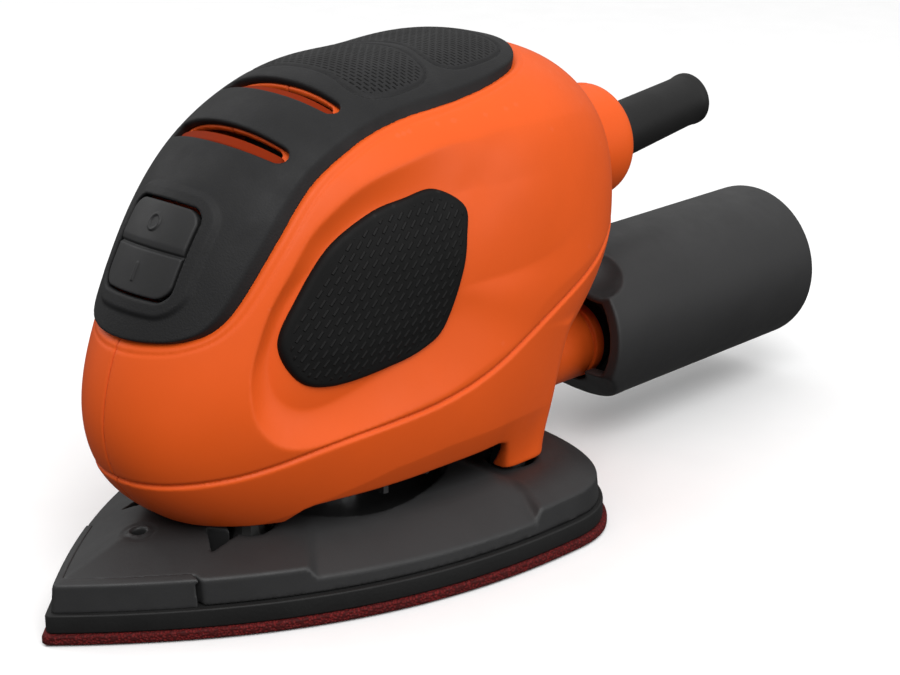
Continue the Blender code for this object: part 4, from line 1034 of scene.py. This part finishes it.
# Raised dashes: turn of their rows, spacing and height in mm, colour, specular level.
GRIP_DASHES = ((0, 0, 0), 2.0, 0.3, (0.003, 0.003, 0.003), 0.1)
# On the side pad the dashes are painted a lighter grey than the rubber: a painted highlight on
# their raised tops.
PAD_DASHES_WITH_PAINTED_HIGHLIGHT = ((0, math.pi / 2, -0.7), 2.7, 0.3, (0.012, 0.012, 0.012), 0.15)

# Colour, roughness, waves of grain per mm, its depth in mm, variation, pale edges, metallic.
finish("orange_shell", (0.74, 0.097, 0.0105), 0.48, 2.2, 0.012, 0.03, 0.08, specular=0.2)
finish("soft_grip", (0.008, 0.008, 0.0085), 0.6, 2.4, 0.12, 0.12, 0.04, specular=0.27,
       dashes=GRIP_DASHES)
finish("side_rubber", (0.004, 0.004, 0.004), 0.6, 1.8, 0.03, 0.12, 0.05, specular=0.15,
       dashes=PAD_DASHES_WITH_PAINTED_HIGHLIGHT)
finish("rocker_plastic", (0.012, 0.012, 0.0125), 0.55, 1.8, 0.03, 0.1, 0.06, specular=0.35)
finish("base_plastic", (0.0195, 0.0195, 0.02), 0.5, 1.8, 0.03, 0.10, 0.08, specular=0.38)
finish("base_foam", (0.0065, 0.0065, 0.0065), 0.6, 1.2, 0.10, 0.15, 0.05, specular=0.3)
grit("hook_fabric", (0.020, 0.020, 0.020), (0.006, 0.006, 0.006), 1.6, 0.3)
grit("abrasive", (0.19, 0.011, 0.011), (0.05, 0.004, 0.004), 1.8, 0.2)
finish("canister_plastic", (0.023, 0.023, 0.0235), 0.52, 2.0, 0.012, 0.06, 0.06, specular=0.35)
grit("filter_cloth", (0.72, 0.71, 0.66), (0.45, 0.44, 0.40), 1.4, 0.15)
finish("cord_rubber", (0.007, 0.007, 0.007), 0.58, 1.6, 0.03, 0.1, 0.2, specular=0.3)
finish("steel", (0.55, 0.55, 0.56), 0.3, 0.8, 0.01, 0.08, 0.2, 1.0, stretch=(1, 1, 9))
finish("copper", (0.62, 0.25, 0.11), 0.32, 1.0, 0.15, 0.12, 0.2, 1.0, stretch=(1, 1, 6))
finish("carbon", (0.02, 0.02, 0.02), 0.55, 1.2, 0.05)
finish("inner_plastic", (0.02, 0.02, 0.021), 0.5, 1.4, 0.04, 0.1, 0.1)
# Housing orange made much darker for the vent bars: painted shade for the depth of the vent slots.
finish("vent_orange_painted_shade", (0.21, 0.019, 0.002), 0.6, 2.2, 0.012, 0.05, 0.05, specular=0.05)
finish("black_steel", (0.03, 0.03, 0.032), 0.35, 0.8, 0.01, 0.08, 0.1, 1.0)
finish("floor", (0.93, 0.93, 0.93), 0.7, 0.2, 0.005, 0.01, 0.0)

SLOT_OF_NODE = {part["node"]: part["material_slot"] for part in frame["record"]["subparts"]}


def dress(item, slot, carrier, *nodes, look=None):
    """Gives a piece its material and the body that moves it, and hides the CAD nodes it stands
    for.
    """
    item.data.materials.clear()
    item.data.materials.append(MATERIALS[look or slot])
    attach(item, carrier)
    if nodes:
        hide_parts(*nodes)


# ---- pieces

def make_body():
    for side, name in ((1, "right"), (-1, "left")):
        ends = (-0.6, 41.0) if side > 0 else (-41.0, 0.6)
        shell = surface_net(f"{name}_shell", housing(side), (ends[0], -51.0, 13.0),
                            (ends[1], 99.0, 107.5), 0.45)
        thin_inside(shell, body, BODY_WALL - 0.8, 0.15)
        dress(shell, "orange_shell", "housing", f"{name}_housing")
    skin = surface_net("grip_skin", grip, (-25.5, -49.0, 55.0), (25.5, 58.0, 107.5), 0.36)
    thin_inside(skin, lambda p: body(p, False), GRIP_DEPTH - 0.4, 0.3)
    mark_dashed(skin, dash_zone)
    dress(skin, "soft_grip", "housing", "top_grip")
    pad = surface_net("right_pad", side_pad, (22.0, -29.0, 47.0), (40.0, 18.0, 87.0), 0.3)
    mark_dashed(pad, lambda p: PAD_OUTLINE(p[..., 1], p[..., 2]) + 0.7)
    dress(mirror_copy(pad, "left_pad"), "side_rubber", "housing", "left_side_pad")
    dress(pad, "side_rubber", "housing", "right_side_pad")
    bars = surface_net("vent_bars", vent_bars, (-16.6, -35.0, 80.0), (16.6, 3.0, 107.0), 0.36)
    # The vent bars take a darker copy of the housing orange: painted shade deep in the slots.
    dress(bars, "orange_shell", "housing", look="vent_orange_painted_shade")
    key = surface_net("rocker_key", rocker, (-9.6, -44.0, 64.0), (9.6, -26.0, 86.0), 0.22)
    dress(key, "rocker_plastic", "rocker", "switch_rocker")


def make_base():
    platen = surface_net("platen_body", platen_form, (-48.0, -66.0, 5.5), (48.0, 66.5, 19.0), 0.55)
    dress(platen, "base_plastic", "base", "platen")
    tip = surface_net("tip_body", tip_form, (-28.0, -67.0, 5.5), (28.0, -36.0, 18.0), 0.4)
    dress(tip, "base_plastic", "base", "platen_tip")
    screw = surface_net("tip_screw_head", tip_screw, (-3.0, TIP_SCREW_Y - 3.0, 6.5),
                        (3.0, TIP_SCREW_Y + 3.0, 15.4), 0.2)
    dress(screw, "steel", "base", "tip_screw", look="black_steel")
    lip = SHEET_TOP + 0.5
    levels = rounded_levels(1.0, lip, PAD_TOP, 0.4) + [(2.0, lip), (2.1, HOOK_TOP + 0.1)]
    foam = base_layer("foam_layer", levels)
    dress(foam, "base_foam", "base", "foam_pad")
    hooks = base_layer("hook_face", rounded_levels(2.3, SHEET_TOP + 0.1, HOOK_TOP, 0.2))
    dress(hooks, "hook_fabric", "base", "hook_layer")
    levels = [(2.15, SHEET_TOP), (2.0, lip - 0.1)] + rounded_levels(0.2, 0.0, lip - 0.1, 0.5)
    sheet = base_layer("abrasive_face", levels)
    dress(sheet, "abrasive", "base", "sanding_sheet")


def make_rear():
    dress(cord_sleeve(), "cord_rubber", "housing", "cord_sleeve")
    dress(dust_port(), "orange_shell", "housing", "dust_spigot")
    low_x, high_x = -CANISTER_RADIUS - 1.0, CANISTER_RADIUS + 1.0
    shell = surface_net("canister_body", canister,
                        (low_x, 80.0, CANISTER_Z - CANISTER_RADIUS - 1.0),
                        (high_x, 166.5, CANISTER_Z + CANISTER_RADIUS + 1.0), 0.6)
    dress(shell, "canister_plastic", "canister", "canister_shell")
    lid = surface_net("lid_body", canister_lid, (low_x, 154.0, CANISTER_Z - 20.0),
                      (high_x, 166.0, CANISTER_Z + 20.0), 0.45)
    dress(lid, "canister_plastic", "canister_lid", "canister_cap")


def dress_cad_nodes():
    """Gives each CAD node that still shows the finish of its slot."""
    for name, item in frame["nodes"].items():
        if item.hide_render:
            continue
        for place in item.material_slots:
            place.material = MATERIALS[SLOT_OF_NODE[name]]


# ---- camera, lights and floor

CAMERA_PLACE = (0.3008, -0.2630, 0.1870)
CAMERA_TURN = Matrix((                  # its right, up and backward directions
    (0.71814, 0.69590, 0.0), (-0.23055, 0.23791, 0.94353), (0.65660, -0.67758, 0.33129),
)).transposed().to_4x4()
LIGHT_TARGET = (0.0, 0.03, 0.06)
FLOOR_REACH = 6.0
FLOOR_Z = -0.0003


def make_camera():
    data = bpy.data.cameras.new("camera")
    data.lens = 79.78
    data.sensor_width = 36.0
    camera = place_object("camera", data)
    camera.matrix_world = Matrix.Translation(CAMERA_PLACE) @ CAMERA_TURN
    bpy.context.scene.camera = camera


def area_light(name, place, size, power):
    data = bpy.data.lights.new(name, "AREA")
    data.shape = "DISK"
    data.size = size
    data.energy = power
    aim = Vector(LIGHT_TARGET) - Vector(place)
    place_object(name, data).matrix_world = (
        Matrix.Translation(place) @ aim.to_track_quat("-Z", "Y").to_matrix().to_4x4())


def make_studio():
    bpy.context.scene.view_settings.view_transform = "Standard"
    area_light("key", (0.65, -0.45, 1.0), 0.8, 8.8)
    area_light("right_fill", (1.25, 0.38, 0.3), 0.9, 6.2)
    area_light("left_fill", (-1.0, -0.3, 0.7), 0.8, 2.5)
    world = bpy.data.worlds.new("studio")
    world.use_nodes = True
    tree = world.node_tree
    direction = tree.nodes.new("ShaderNodeTexCoord").outputs["Generated"]
    height = add_node(tree, "ShaderNodeSeparateXYZ", Vector=direction).outputs["Z"]
    set_inputs(tree, tree.nodes["Background"], Color=(1.0, 1.0, 1.0, 1.0),
               Strength=ramp(tree, height, -0.1, 0.8, 0.1, 1.0))
    bpy.context.scene.world = world


def make_floor():
    mesh = bpy.data.meshes.new("floor")
    corners = [(x * FLOOR_REACH, y * FLOOR_REACH, FLOOR_Z)
               for x, y in ((-1, -1), (1, -1), (1, 1), (-1, 1))]
    mesh.from_pydata(corners, [], [(0, 1, 2, 3)])
    mesh.materials.append(MATERIALS["floor"])
    floor = place_object("floor", mesh)
    floor.visible_diffuse = False
    floor.visible_glossy = False


make_body()
make_base()
make_rear()
dress_cad_nodes()
make_camera()
make_studio()
make_floor()
